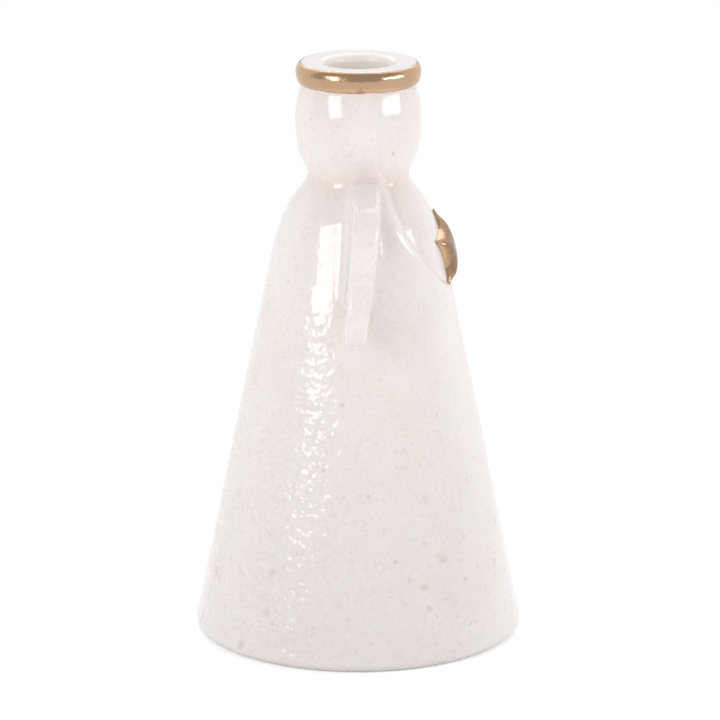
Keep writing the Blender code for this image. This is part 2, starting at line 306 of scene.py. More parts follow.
    def hollow(self) -> Array:
        """Section of the hollow, drain hole and foot recess, from below the foot to the dome.

        Returns:
            The points, one in each row.
        """
        ring = self.hem_radius - self.hem_round - self.foot_width
        floor = self.foot_recess + self.base_thickness
        foot = np.array(
            (
                (0.0, -self.foot_recess),
                (ring + self.foot_recess, -self.foot_recess),
                (ring - self.foot_recess, self.foot_recess),
                (self.drain_radius, self.foot_recess),
                (self.drain_radius, floor),
            )
        )
        outside = np.vstack((self.dress(), self.head()))
        along = outside[2:] - outside[:-2]
        along /= np.linalg.norm(along, axis=1)[:, None]
        wall = outside[1:-1] + self.wall * np.column_stack((-along[:, 1], along[:, 0]))
        dome_top = self.socket_floor - self.socket_floor_thickness
        dome_foot = dome_top - self.dome_rise
        side = wall[(wall[:, 1] > floor + self.cavity_fillet) & (wall[:, 1] < dome_foot)]
        corner = np.array((side[0][0] - self.cavity_fillet, floor + self.cavity_fillet))
        dome_start = np.array((side[-1][0], dome_foot))
        crown = np.array((0.0, dome_top))
        dome = fair(dome_start, heading(math.pi / 2), crown, heading(math.pi), self.handle, 2 * self.facet)
        rounding = arc(corner, self.cavity_fillet, -math.pi / 2, 0.0, 2 * self.facet)
        return np.vstack((foot, rounding, side, dome_start[None], dome))[::-1]

    def outer_radius(self, height: Array | float) -> Array:
        """Radius of the dress at a height between the hem and the neck."""
        profile = self.dress()
        return np.interp(height, profile[:, 1], profile[:, 0])

    def on_body(self, angle: Array, height: Array, proud: Array | float) -> Array:
        """Points on or near the dress.

        Args:
            angle: Angles round from the front.
            height: Heights above the foot.
            proud: Distances proud of the dress.

        Returns:
            The points, one in each row.
        """
        radius = self.outer_radius(height) + proud
        return np.column_stack((radius * np.sin(angle), -radius * np.cos(angle), height))


# Meshes and node trees


def new_object(name: str, data: bpy.types.ID) -> bpy.types.Object:
    """A new object in the scene.

    Args:
        name: The object's name.
        data: Its mesh, curve, lamp or camera.

    Returns:
        The object.
    """
    obj = bpy.data.objects.new(name, data)
    bpy.context.scene.collection.objects.link(obj)
    return obj


def evaluated_mesh(obj: bpy.types.Object) -> bpy.types.Mesh:
    """The plain mesh that an object's modifiers make."""
    bpy.context.view_layer.update()
    return bpy.data.meshes.new_from_object(obj.evaluated_get(bpy.context.evaluated_depsgraph_get()))


def plain_object(obj: bpy.types.Object) -> bpy.types.Object:
    """Replaces an object by one that holds its finished mesh and has no modifiers.

    Args:
        obj: The object with its modifiers.

    Returns:
        The plain object, under the same name.
    """
    mesh = evaluated_mesh(obj)
    name = obj.name
    bpy.data.objects.remove(obj)
    mesh.name = name
    return new_object(name, mesh)


def close_and_turn_out(mesh: bpy.types.Mesh) -> None:
    """Welds a closed mesh's doubles and turns its faces outwards.

    Args:
        mesh: The mesh, which is changed.
    """
    form = bmesh.new()
    form.from_mesh(mesh)
    bmesh.ops.remove_doubles(form, verts=form.verts, dist=WELD)
    bmesh.ops.recalc_face_normals(form, faces=form.faces)
    form.to_mesh(mesh)
    form.free()


def finished_form(form: bmesh.types.BMesh, name: str) -> bpy.types.Mesh:
    """A new mesh of a finished form, which is freed.

    Args:
        form: The form.
        name: The mesh's name.

    Returns:
        The mesh.
    """
    mesh = bpy.data.meshes.new(name)
    form.to_mesh(mesh)
    form.free()
    return mesh


def bridge(form: bmesh.types.BMesh, low: list, high: list) -> None:
    """Makes the faces between two closed rings of vertices.

    Args:
        form: The form that takes the faces.
        low: Vertices of one ring.
        high: Vertices of the other, in the same order.
    """
    for i in range(len(low)):
        j = (i + 1) % len(low)
        form.faces.new((low[i], low[j], high[j], high[i]))


def polyline_mesh(name: str, section: Array) -> bpy.types.Mesh:
    """A section as a chain of edges in the XZ plane.

    Args:
        name: The mesh's name.
        section: The section's points, one in each row.

    Returns:
        The mesh.
    """
    mesh = bpy.data.meshes.new(name)
    points = [(float(radius), 0.0, float(height)) for radius, height in section]
    mesh.from_pydata(points, [(i, i + 1) for i in range(len(points) - 1)], [])
    return mesh


def coordinates(mesh: bpy.types.Mesh) -> Array:
    """Positions of a mesh's vertices.

    Args:
        mesh: The mesh.

    Returns:
        The positions, one in each row.
    """
    places = np.empty(3 * len(mesh.vertices))
    mesh.vertices.foreach_get("co", places)
    return places.reshape(-1, 3)


class Graph:
    """Adds nodes to a node tree and links them."""

    def __init__(self, tree: bpy.types.NodeTree) -> None:
        """Starts on an existing tree."""
        self.tree = tree

    def feed(self, socket: Socket, value: object) -> None:
        """Links a socket to another, or sets its value.

        Args:
            socket: The input.
            value: A socket or a value.
        """
        if isinstance(value, Socket):
            self.tree.links.new(value, socket)
        else:
            socket.default_value = value

    def node(self, kind: str, inputs: dict | None = None, **settings: object) -> bpy.types.Node:
        """Adds a node.

        Args:
            kind: The node's type.
            inputs: Values or sockets for its inputs, by name or index.
            settings: The node's own properties.

        Returns:
            The node.
        """
        made = self.tree.nodes.new(kind)
        for name, setting in settings.items():
            setattr(made, name, setting)
        self.fill(made, inputs or {})
        return made

    def fill(self, node: bpy.types.Node, inputs: dict) -> None:
        """Sets or links several inputs of a node."""
        for key, value in inputs.items():
            self.feed(node.inputs[key], value)

    def math(
        self, operation: str, first: object, second: object = 0.0, clamp: bool = False
    ) -> Socket:
        """Result of a Math node."""
        inputs = {0: first, 1: second}
        return self.node("ShaderNodeMath", inputs, operation=operation, use_clamp=clamp).outputs[0]

    def sum(self, first: object, second: object) -> Socket:
        """Sum of two values."""
        return self.math("ADD", first, second)

    def times(self, first: object, second: object) -> Socket:
        """Product of two values."""
        return self.math("MULTIPLY", first, second)

    def ramp(
        self, value: object, low: object, high: object, to_low: object = 0.0, to_high: object = 1.0
    ) -> Socket:
        """A value taken smoothly from one range to another.

        Args:
            value: What is mapped.
            low: Start of its range.
            high: End of its range.
            to_low: Result at the start.
            to_high: Result at the end.

        Returns:
            The mapped value.
        """
        inputs = {0: value, 1: low, 2: high, 3: to_low, 4: to_high}
        return self.node("ShaderNodeMapRange", inputs, interpolation_type="SMOOTHSTEP").outputs[0]

    def blend(self, share: object, first: object, second: object) -> Socket:
        """A colour between two others."""
        return self.node("ShaderNodeMix", {0: share, 6: first, 7: second}, data_type="RGBA").outputs[2]

    def noise(self, vector: object, scale: object, detail: float) -> Socket:
        """Value of a Noise Texture node."""
        inputs = {"Vector": vector, "Scale": scale, "Detail": detail}
        return self.node("ShaderNodeTexNoise", inputs).outputs[0]

    def scaled(self, vector: object, scale: tuple[float, ...]) -> Socket:
        """A vector scaled along its axes."""
        return self.node("ShaderNodeMapping", {"Vector": vector, "Scale": scale}).outputs[0]

    def bump(self, height: object, distance: float) -> Socket:
        """Normals of a relief."""
        inputs = {"Strength": 1.0, "Distance": distance, "Height": height}
        return self.node("ShaderNodeBump", inputs).outputs[0]

    def attribute(self, name: str) -> Socket:
        """A value that the mesh carries."""
        return self.node("ShaderNodeAttribute", attribute_name=name).outputs["Fac"]


class Group(Graph):
    """A node group with named inputs and outputs."""

    def __init__(self, kind: str, name: str, inputs: dict[str, str], outputs: dict[str, str]) -> None:
        """Makes the group.

        Args:
            kind: The tree's type.
            name: The group's name.
            inputs: Socket type of each input.
            outputs: Socket type of each output.
        """
        super().__init__(bpy.data.node_groups.new(name, kind))
        for direction, sockets in (("INPUT", inputs), ("OUTPUT", outputs)):
            for label, socket_type in sockets.items():
                self.tree.interface.new_socket(name=label, in_out=direction, socket_type=socket_type)
        self.given = self.tree.nodes.new("NodeGroupInput").outputs
        self.result = self.tree.nodes.new("NodeGroupOutput").inputs

    def place(self, graph: Graph, inputs: dict) -> Socket:
        """Places the group in a material's tree with its own values, and gives its output.

        Args:
            graph: The material's tree.
            inputs: Values or sockets for the group's inputs, by name.

        Returns:
            The group's output.
        """
        made = graph.tree.nodes.new("ShaderNodeGroup")
        made.node_tree = self.tree
        graph.fill(made, inputs)
        return made.outputs[0]

    def modify(self, obj: bpy.types.Object, inputs: dict) -> None:
        """Puts the group on an object as a modifier, its inputs set by their identifiers.

        Args:
            obj: The object.
            inputs: Values for the group's inputs, by name.
        """
        modifier = obj.modifiers.new(self.tree.name, "NODES")
        modifier.node_group = self.tree
        for item in self.tree.interface.items_tree:
            if item.in_out == "INPUT" and item.name in inputs:
                modifier[item.identifier] = inputs[item.name]


FLOAT = "NodeSocketFloat"
INTEGER = "NodeSocketInt"
VECTOR = "NodeSocketVector"
COLOUR = "NodeSocketColor"
GEOMETRY = "NodeSocketGeometry"
MATERIAL = "NodeSocketMaterial"


class Wrapping(Group):
    """Wraps a grid of vertices round the axis, one column for each step."""

    def __init__(self, name: str, inputs: dict[str, str]) -> None:
        """Makes the group with its inputs."""
        super().__init__("GeometryNodeTree", name, inputs, {"Form": GEOMETRY})

    def _grid(self, points: object) -> tuple[Socket, ...]:
        """Lays out the grid.

        Args:
            points: Number of vertices in each column.

        Returns:
            The grid, each vertex's row, and the cosine and sine of its column's angle.
        """
        steps = self.given["Steps"]
        inputs = {"Vertices X": self.sum(steps, 1.0), "Vertices Y": points}
        grid = self.node("GeometryNodeMeshGrid", inputs).outputs[0]
        index = self.node("GeometryNodeInputIndex").outputs[0]
        column = self.math("FLOOR", self.math("DIVIDE", index, points))
        angle = self.math("DIVIDE", self.times(column, math.tau), steps)
        row = self.math("MODULO", index, points)
        return grid, row, self.math("COSINE", angle), self.math("SINE", angle)

    def _turned(self, grid: object, radius: object, height: object, round_axis: tuple) -> Socket:
        """The grid with each vertex at its radius, height and angle.

        Args:
            grid: The grid.
            radius: Radius of each vertex.
            height: Height of each vertex.
            round_axis: Cosine and sine of each vertex's angle.

        Returns:
            The grid in its place.
        """
        cosine, sine = round_axis
        corner = {0: self.times(radius, cosine), 1: self.times(radius, sine), 2: height}
        place = self.node("ShaderNodeCombineXYZ", corner).outputs[0]
        return self.node("GeometryNodeSetPosition", {"Geometry": grid, "Position": place}).outputs[0]

    def _put_out(self, form: object) -> None:
        """Welds, smooths and dresses the finished form.

        Args:
            form: The form.
        """
        welded = self.node("GeometryNodeMergeByDistance", {"Geometry": form, "Distance": WELD})
        smooth = self.node("GeometryNodeSetShadeSmooth", {"Geometry": welded.outputs[0]})
        real = self.node("GeometryNodeRealizeInstances", {"Geometry": smooth.outputs[0]})
        inputs = {"Geometry": real.outputs[0], "Material": self.given["Material"]}
        self.feed(self.result["Form"], self.node("GeometryNodeSetMaterial", inputs).outputs[0])


class Turning(Wrapping):
    """Turns a section round the axis."""

    def __init__(self) -> None:
        """Builds the tree."""
        inputs = {"Section": GEOMETRY, "Points": INTEGER, "Steps": INTEGER, "Material": MATERIAL}
        super().__init__("turning", inputs)
        grid, row, cosine, sine = self._grid(self.given["Points"])
        position = self.node("GeometryNodeInputPosition").outputs[0]
        sample = self.node("GeometryNodeSampleIndex", data_type="FLOAT_VECTOR", domain="POINT")
        self.fill(sample, {"Geometry": self.given["Section"], "Value": position, "Index": row})
        place = self.node("ShaderNodeSeparateXYZ", {0: sample.outputs[0]}).outputs
        self._put_out(self._turned(grid, place["X"], place["Z"], (cosine, sine)))

    def form(self, name: str, section: Array, steps: int, material: bpy.types.Material) -> bpy.types.Object:
        """A closed turned form.

        Args:
            name: The object's name.
            section: Its section, from axis to axis.
            steps: Number of steps round.
            material: Its finish.

        Returns:
            The object, with a plain mesh.
        """
        obj = new_object(name, polyline_mesh(name, section))
        self.modify(obj, {"Points": len(section), "Steps": steps, "Material": material})
        finished = plain_object(obj)
        close_and_turn_out(finished.data)
        return finished


# The figure as a field of distances


@dataclass(frozen=True)
class Reading:
    """Signed distances of points from a form, positive outside, and the directions in which they grow."""

    distance: Array
    slope: Array


def soft_union(first: Reading, second: Reading, reach: Array) -> Reading:
    """Two forms run into each other with a fillet.

    Args:
        first: Reading of one form.
        second: Reading of the other.
        reach: Width of the fillet at each point.

    Returns:
        Reading of the joined form.
    """
    gap = first.distance - second.distance
    overlap = np.clip(reach - np.abs(gap), 0.0, None) / reach
    nearest = np.minimum(first.distance, second.distance)
    share = np.where(gap < 0, 1.0 - overlap / 2, overlap / 2)[:, None]
    slope = share * first.slope + (1.0 - share) * second.slope
    return Reading(nearest - overlap * overlap * reach / 4, slope)


class TurnedField:
    """Distances from the turned body."""

    CHUNK = 4000
    LEAST_RADIUS = 1e-9

    def __init__(self, section: Array) -> None:
        """Prepares the section, whose solid lies on its right.

        Args:
            section: The section's points, one in each row.
        """
        self.start = section[:-1]
        self.along = section[1:] - section[:-1]
        self.length = np.einsum("ij,ij->i", self.along, self.along)
        side = np.column_stack((-self.along[:, 1], self.along[:, 0])) / np.sqrt(self.length)[:, None]
        corner = np.vstack((side[:1], side[:-1] + side[1:], side[-1:]))
        self.normal = corner / np.linalg.norm(corner, axis=1)[:, None]

    def read(self, points: Array) -> Reading:
        """Distances and slopes at points.

        Args:
            points: The points, one in each row.

        Returns:
            The reading.
        """
        radius = np.hypot(points[:, 0], points[:, 1])
        flat = np.column_stack((radius, points[:, 2]))
        distance = np.empty(len(points))
        facing = np.empty((len(points), 2))
        for low in range(0, len(points), self.CHUNK):
            part = slice(low, low + self.CHUNK)
            distance[part], facing[part] = self._nearest(flat[part])
        outward = points[:, :2] / np.maximum(radius, self.LEAST_RADIUS)[:, None]
        return Reading(distance, np.column_stack((facing[:, :1] * outward, facing[:, 1])))

    def _nearest(self, flat: Array) -> tuple[Array, Array]:
        """Signed distance and facing of points in the plane of the section.

        Args:
            flat: Radius and height of each point.

        Returns:
            The distances, and the way the surface faces at the nearest places.
        """
        across = flat[:, None, 0] - self.start[None, :, 0]
        up = flat[:, None, 1] - self.start[None, :, 1]
        share = np.clip((across * self.along[:, 0] + up * self.along[:, 1]) / self.length, 0.0, 1.0)
        across -= share * self.along[:, 0]
        up -= share * self.along[:, 1]
        pick = np.argmin(across * across + up * up, axis=1)
        rows = np.arange(len(flat))
        offset = np.column_stack((across[rows, pick], up[rows, pick]))
        t = share[rows, pick][:, None]
        facing = (1.0 - t) * self.normal[pick] + t * self.normal[pick + 1]
        facing /= np.linalg.norm(facing, axis=1)[:, None]
        side = np.sign(np.einsum("ij,ij->i", offset, facing))
        return side * np.linalg.norm(offset, axis=1), facing


def sloped(read: Callable[[Array], Array], points: Array) -> Reading:
    """A reading with its slopes taken from differences.

    Args:
        read: Gives the distances of points.
        points: The points.

    Returns:
        Distances and slopes.
    """
    slope = np.empty_like(points)
    for axis in range(3):
        shift = np.zeros(3)
        shift[axis] = SLOPE_STEP
        slope[:, axis] = (read(points + shift) - read(points - shift)) / (2 * SLOPE_STEP)
    return Reading(read(points), slope)


@dataclass(frozen=True)
class Wings:
    """Both wings: thick round-edged plates that leave the body at its sides."""

    body: TurnedBody
    thickness: float = 0.0093
    edge_round: float = 0.0018
    tip_thinning: float = 0.24
    reach: float = 0.0205
    below_neck: float = 0.0019
    drop: float = 0.0482
    crest_inset: float = 0.0102
    corner_inset: float = 0.0008
    corner_drop: float = 0.0082
    waist_inset: float = 0.002
    waist_drop: float = 0.0225
    tip_width: float = 0.0105
    tip_round: float = 0.0045
    heel_rise: float = 0.017
    root_sink: float = 0.006
    forward: float = 0.0017
    sweep: float = math.radians(5.3)
    outline_resolution: int = 14
    fillet: float = 0.0045

    LEAST_RISE = 1e-12

    def outline(self) -> Array:
        """Core of the wing's outline as (distance from the axis, height), inside its round edge.

        Returns:
            The points of the closed outline, one in each row.
        """
        neck = self.body.neck_height
        edge = self.edge_round
        reach = self.body.skirt_top_radius + self.reach - edge
        crest = neck - self.below_neck - edge
        tip = neck - self.drop + edge
        inner_tip = reach - (self.tip_width - 2 * edge)
        shoulder = crest - edge
        heel = tip + self.heel_rise
        shoulder_root = float(self.body.outer_radius(shoulder)) - self.root_sink
        heel_root = float(self.body.outer_radius(heel)) - self.root_sink
        knots = (
            (shoulder_root, shoulder),
            (reach - self.crest_inset, crest),
            (reach - self.corner_inset, crest - self.corner_drop),
            (reach - self.waist_inset, crest - self.waist_drop),
            (reach, tip + self.tip_round),
            ((reach + inner_tip) / 2, tip),
            (inner_tip, tip + self.tip_round),
            (heel_root + edge, heel),
            (heel_root, heel + edge),
        )
        curve = bpy.data.curves.new("wing_outline", "CURVE")
        curve.dimensions = "2D"
        curve.fill_mode = "NONE"
        curve.resolution_u = self.outline_resolution
        spline = curve.splines.new("BEZIER")
        spline.bezier_points.add(len(knots) - 1)
        for point, (across, height) in zip(spline.bezier_points, knots):
            point.co = (across, height, 0.0)
            point.handle_left_type = "AUTO"
            point.handle_right_type = "AUTO"
        spline.use_cyclic_u = True
        obj = new_object("wing_outline", curve)
        mesh = evaluated_mesh(obj)
        bpy.data.objects.remove(obj)
        return coordinates(mesh)[:, :2]

    def cage(self) -> bpy.types.Mesh:
        """A rough closed mesh of both wings, for the figure's first mesh.

        Returns:
            The mesh.
        """
        outline = self.outline()
        core = self.thickness / 2
        form = bmesh.new()
        for side in (-1, 1):
            front = [form.verts.new(self._placed(side, x, -core, z)) for x, z in outline]
            back = [form.verts.new(self._placed(side, x, core, z)) for x, z in outline]
            form.faces.new(front)
            form.faces.new(back)
            bridge(form, front, back)
        bmesh.ops.recalc_face_normals(form, faces=form.faces)
        return finished_form(form, "wings")

    def _placed(self, side: int, across: float, through: float, height: float) -> tuple[float, float, float]:
        """A point of the flat wing, thinned and swept back into its place.

        Args:
            side: Sign of the side that the wing is on.
            across: Distance of the point from the axis.
            through: Its distance from the middle of the plate, before thinning.
            height: Its height.

        Returns:
            The point.
        """
        below = self.body.neck_height - height
        depth = through * (1.0 - self.tip_thinning * below / self.drop)
        return (side * across, depth - self.forward + below * math.tan(self.sweep), height)

    def read(self, points: Array, outline: Array) -> Reading:
        """Distances and slopes at points near the wings.

        Args:
            points: The points, one in each row.
            outline: The core's outline.

        Returns:
            The reading.
        """
        following = np.roll(outline, -1, axis=0)
        along = following - outline
        length = np.einsum("ij,ij->i", along, along)

        def distances(places: Array) -> Array:
            """Distances of places from the wings.

            Args:
                places: The places, one in each row.

            Returns:
                The distances.
            """
            below = self.body.neck_height - places[:, 2]
            thinning = 1.0 - self.tip_thinning * below / self.drop
            through = (places[:, 1] + self.forward - below * math.tan(self.sweep)) / thinning
            across = np.abs(places[:, 0])[:, None] - outline[None, :, 0]
            up = places[:, 2][:, None] - outline[None, :, 1]
            crosses = (up >= 0) != (places[:, 2][:, None] >= following[None, :, 1])
            rise = np.where(along[:, 1] == 0, self.LEAST_RISE, along[:, 1])
            ahead = across < along[:, 0] * up / rise
            inside = np.count_nonzero(crosses & ahead, axis=1) % 2 == 1
            share = np.clip((across * along[:, 0] + up * along[:, 1]) / length, 0.0, 1.0)
            squared = (across - share * along[:, 0]) ** 2 + (up - share * along[:, 1]) ** 2
            gap = np.sqrt(np.min(squared, axis=1))
            flat = np.where(inside, -gap, gap)
            deep = np.abs(through) - (self.thickness / 2 - self.edge_round)
            outer = np.hypot(np.maximum(flat, 0.0), np.maximum(deep, 0.0))
            return outer + np.minimum(np.maximum(flat, deep), 0.0) - self.edge_round

        return sloped(distances, points)


@dataclass(frozen=True)
class Arms:
    """Both arms: tapered sleeves in relief from the shoulders to the lower points of the star."""

    body: TurnedBody
    sleeve_radius: float = 0.0034
    hand_radius: float = 0.0024
    sleeve_sink: float = 0.0011
    hand_sink: float = 0.0008
    sleeve_spread: float = 3.0
    root_angle: float = math.radians(72.0)
    elbow_angle: float = math.radians(60.5)
    hand_angle: float = math.radians(22.7)
    root_below_neck: float = 0.0058
    elbow_below_neck: float = 0.0266
    hand_below_neck: float = 0.0386
    start: float = -0.14
    end: float = 0.95
    steps: int = 40
    cage_sides: int = 12
    upper_fillet: float = 0.0012
    lower_fillet: float = 0.003

    def path(self) -> tuple[Array, Array]:
        """Centres and radii along the arm on the figure's right, from the shoulder to the hand.

        Returns:
            The centres, one in each row, and the radii.
        """
        t = self.start + (self.end - self.start) * np.sin(math.pi / 2 * np.linspace(0.0, 1.0, self.steps + 1))
        weights = np.column_stack(((1 - t) ** 2, 2 * t * (1 - t), t * t))
        angle = weights @ np.array((self.root_angle, self.elbow_angle, self.hand_angle))
        drop = weights @ np.array((self.root_below_neck, self.elbow_below_neck, self.hand_below_neck))
        radius = self.sleeve_radius + (self.hand_radius - self.sleeve_radius) * t
        sink = self.sleeve_sink + (self.hand_sink - self.sleeve_sink) * t
        return self.body.on_body(angle, self.body.neck_height - drop, -sink), radius

    def cage(self) -> bpy.types.Mesh:
        """A rough closed mesh of both arms, for the figure's first mesh.

        Returns:
            The mesh.
        """
        centres, radii = self.path()
        along = np.gradient(centres, axis=0)
        along /= np.linalg.norm(along, axis=1)[:, None]
        form = bmesh.new()
        for side in (-1, 1):
            rings = []
            for centre, direction, radius in zip(centres, along, radii):
                one = np.cross(direction, (0.0, 0.0, 1.0))
                one /= np.linalg.norm(one)
                two = np.cross(direction, one)
                ring = []
                for i in range(self.cage_sides):
                    turn = math.tau * i / self.cage_sides
                    place = centre + radius * (math.cos(turn) * one + math.sin(turn) * two)
                    ring.append(form.verts.new((side * place[0], place[1], place[2])))
                rings.append(ring)
            for low, high in zip(rings, rings[1:]):
                bridge(form, low, high)
            form.faces.new(rings[0])
            form.faces.new(rings[-1])
        bmesh.ops.recalc_face_normals(form, faces=form.faces)
        return finished_form(form, "arms")

    def read(self, points: Array) -> tuple[Reading, Array]:
        """Distances and slopes at points near the arms, and how far each point lies above its arm.

        Args:
            points: The points, one in each row.

        Returns:
            The reading, and the heights above the arm's middle line.
        """
        centres, radii = self.path()
        start = centres[:-1]
        along = centres[1:] - start
        length = np.einsum("ij,ij->i", along, along)

        def measured(places: Array) -> tuple[Array, Array]:
            """Distances of places from the arms, and their heights above the arm's middle line.

            Args:
                places: The places, one in each row.

            Returns:
                The distances and the heights.
            """
            mirrored = places.copy()
            mirrored[:, 0] = np.abs(mirrored[:, 0])
            offset = mirrored[:, None, :] - start[None]
            share = np.clip(np.einsum("ijk,jk->ij", offset, along) / length, 0.0, 1.0)
            offset -= share[:, :, None] * along[None]
            offset[:, :, 2] /= np.where(offset[:, :, 2] < 0.0, self.sleeve_spread, 1.0)
            radius = radii[:-1] + share * (radii[1:] - radii[:-1])
            gap = np.sqrt(np.einsum("ijk,ijk->ij", offset, offset)) - radius
            pick = np.argmin(gap, axis=1)
            rows = np.arange(len(places))
            return gap[rows, pick], offset[rows, pick, 2]

        reading = sloped(lambda places: measured(places)[0], points)
        return reading, measured(points)[1]


class FigureField:
    """Distances from the whole figure: the turned body with its wings and arms run into it."""

    MARGIN = 0.012
    DETAIL = 0.003

    def __init__(self, body: TurnedBody, wings: Wings, arms: Arms) -> None:
        """Prepares the three forms.

        Args:
            body: The turned body.
            wings: Both wings.
            arms: Both arms.
        """
        self.body = body
        self.turned = TurnedField(body.casting())
        self.wings = wings
        self.arms = arms
        self.wing_outline = wings.outline()
        self.arm_box = self._box(arms.path()[0])

    def _box(self, places: Array) -> tuple[Array, Array]:
        """Lowest and highest corner round points, with a margin."""
        return places.min(axis=0) - self.MARGIN, places.max(axis=0) + self.MARGIN

    def read(self, points: Array) -> tuple[Reading, Array]:
        """Reads the figure.

        Args:
            points: The points.

        Returns:
            Distances and slopes, and whether each point is near a wing or an arm.
        """
        reading = self.turned.read(points)
        distance = reading.distance.copy()
        slope = reading.slope.copy()
        detailed = np.zeros(len(points), dtype=bool)

        def join(rows: Array, form: Reading, reach: Array) -> None:
            """Runs a form into what has been read at some of the points.

            Args:
                rows: Rows of those points.
                form: Reading of the form at them.
                reach: Width of the fillet at each of them.
            """
            joined = soft_union(Reading(distance[rows], slope[rows]), form, reach)
            distance[rows] = joined.distance
            slope[rows] = joined.slope
            detailed[rows] |= form.distance < self.DETAIL

        aside = np.abs(points[:, 0])
        low, high = self._box(self.wing_outline)
        near = (aside > low[0]) & (points[:, 2] > low[1]) & (points[:, 2] < high[1])
        rows = np.flatnonzero(near)
        wing = self.wings.read(points[rows], self.wing_outline)
        join(rows, wing, np.full(len(rows), self.wings.fillet))
        low, high = self.arm_box
        mirrored = np.column_stack((aside, points[:, 1:]))
        rows = np.flatnonzero(((mirrored > low) & (mirrored < high)).all(axis=1))
        arm, above = self.arms.read(points[rows])
        share = np.clip(0.5 + above / (2 * self.arms.hand_radius), 0.0, 1.0)
        join(rows, arm, self.arms.lower_fillet + share * (self.arms.upper_fillet - self.arms.lower_fillet))
        return Reading(distance, slope), detailed


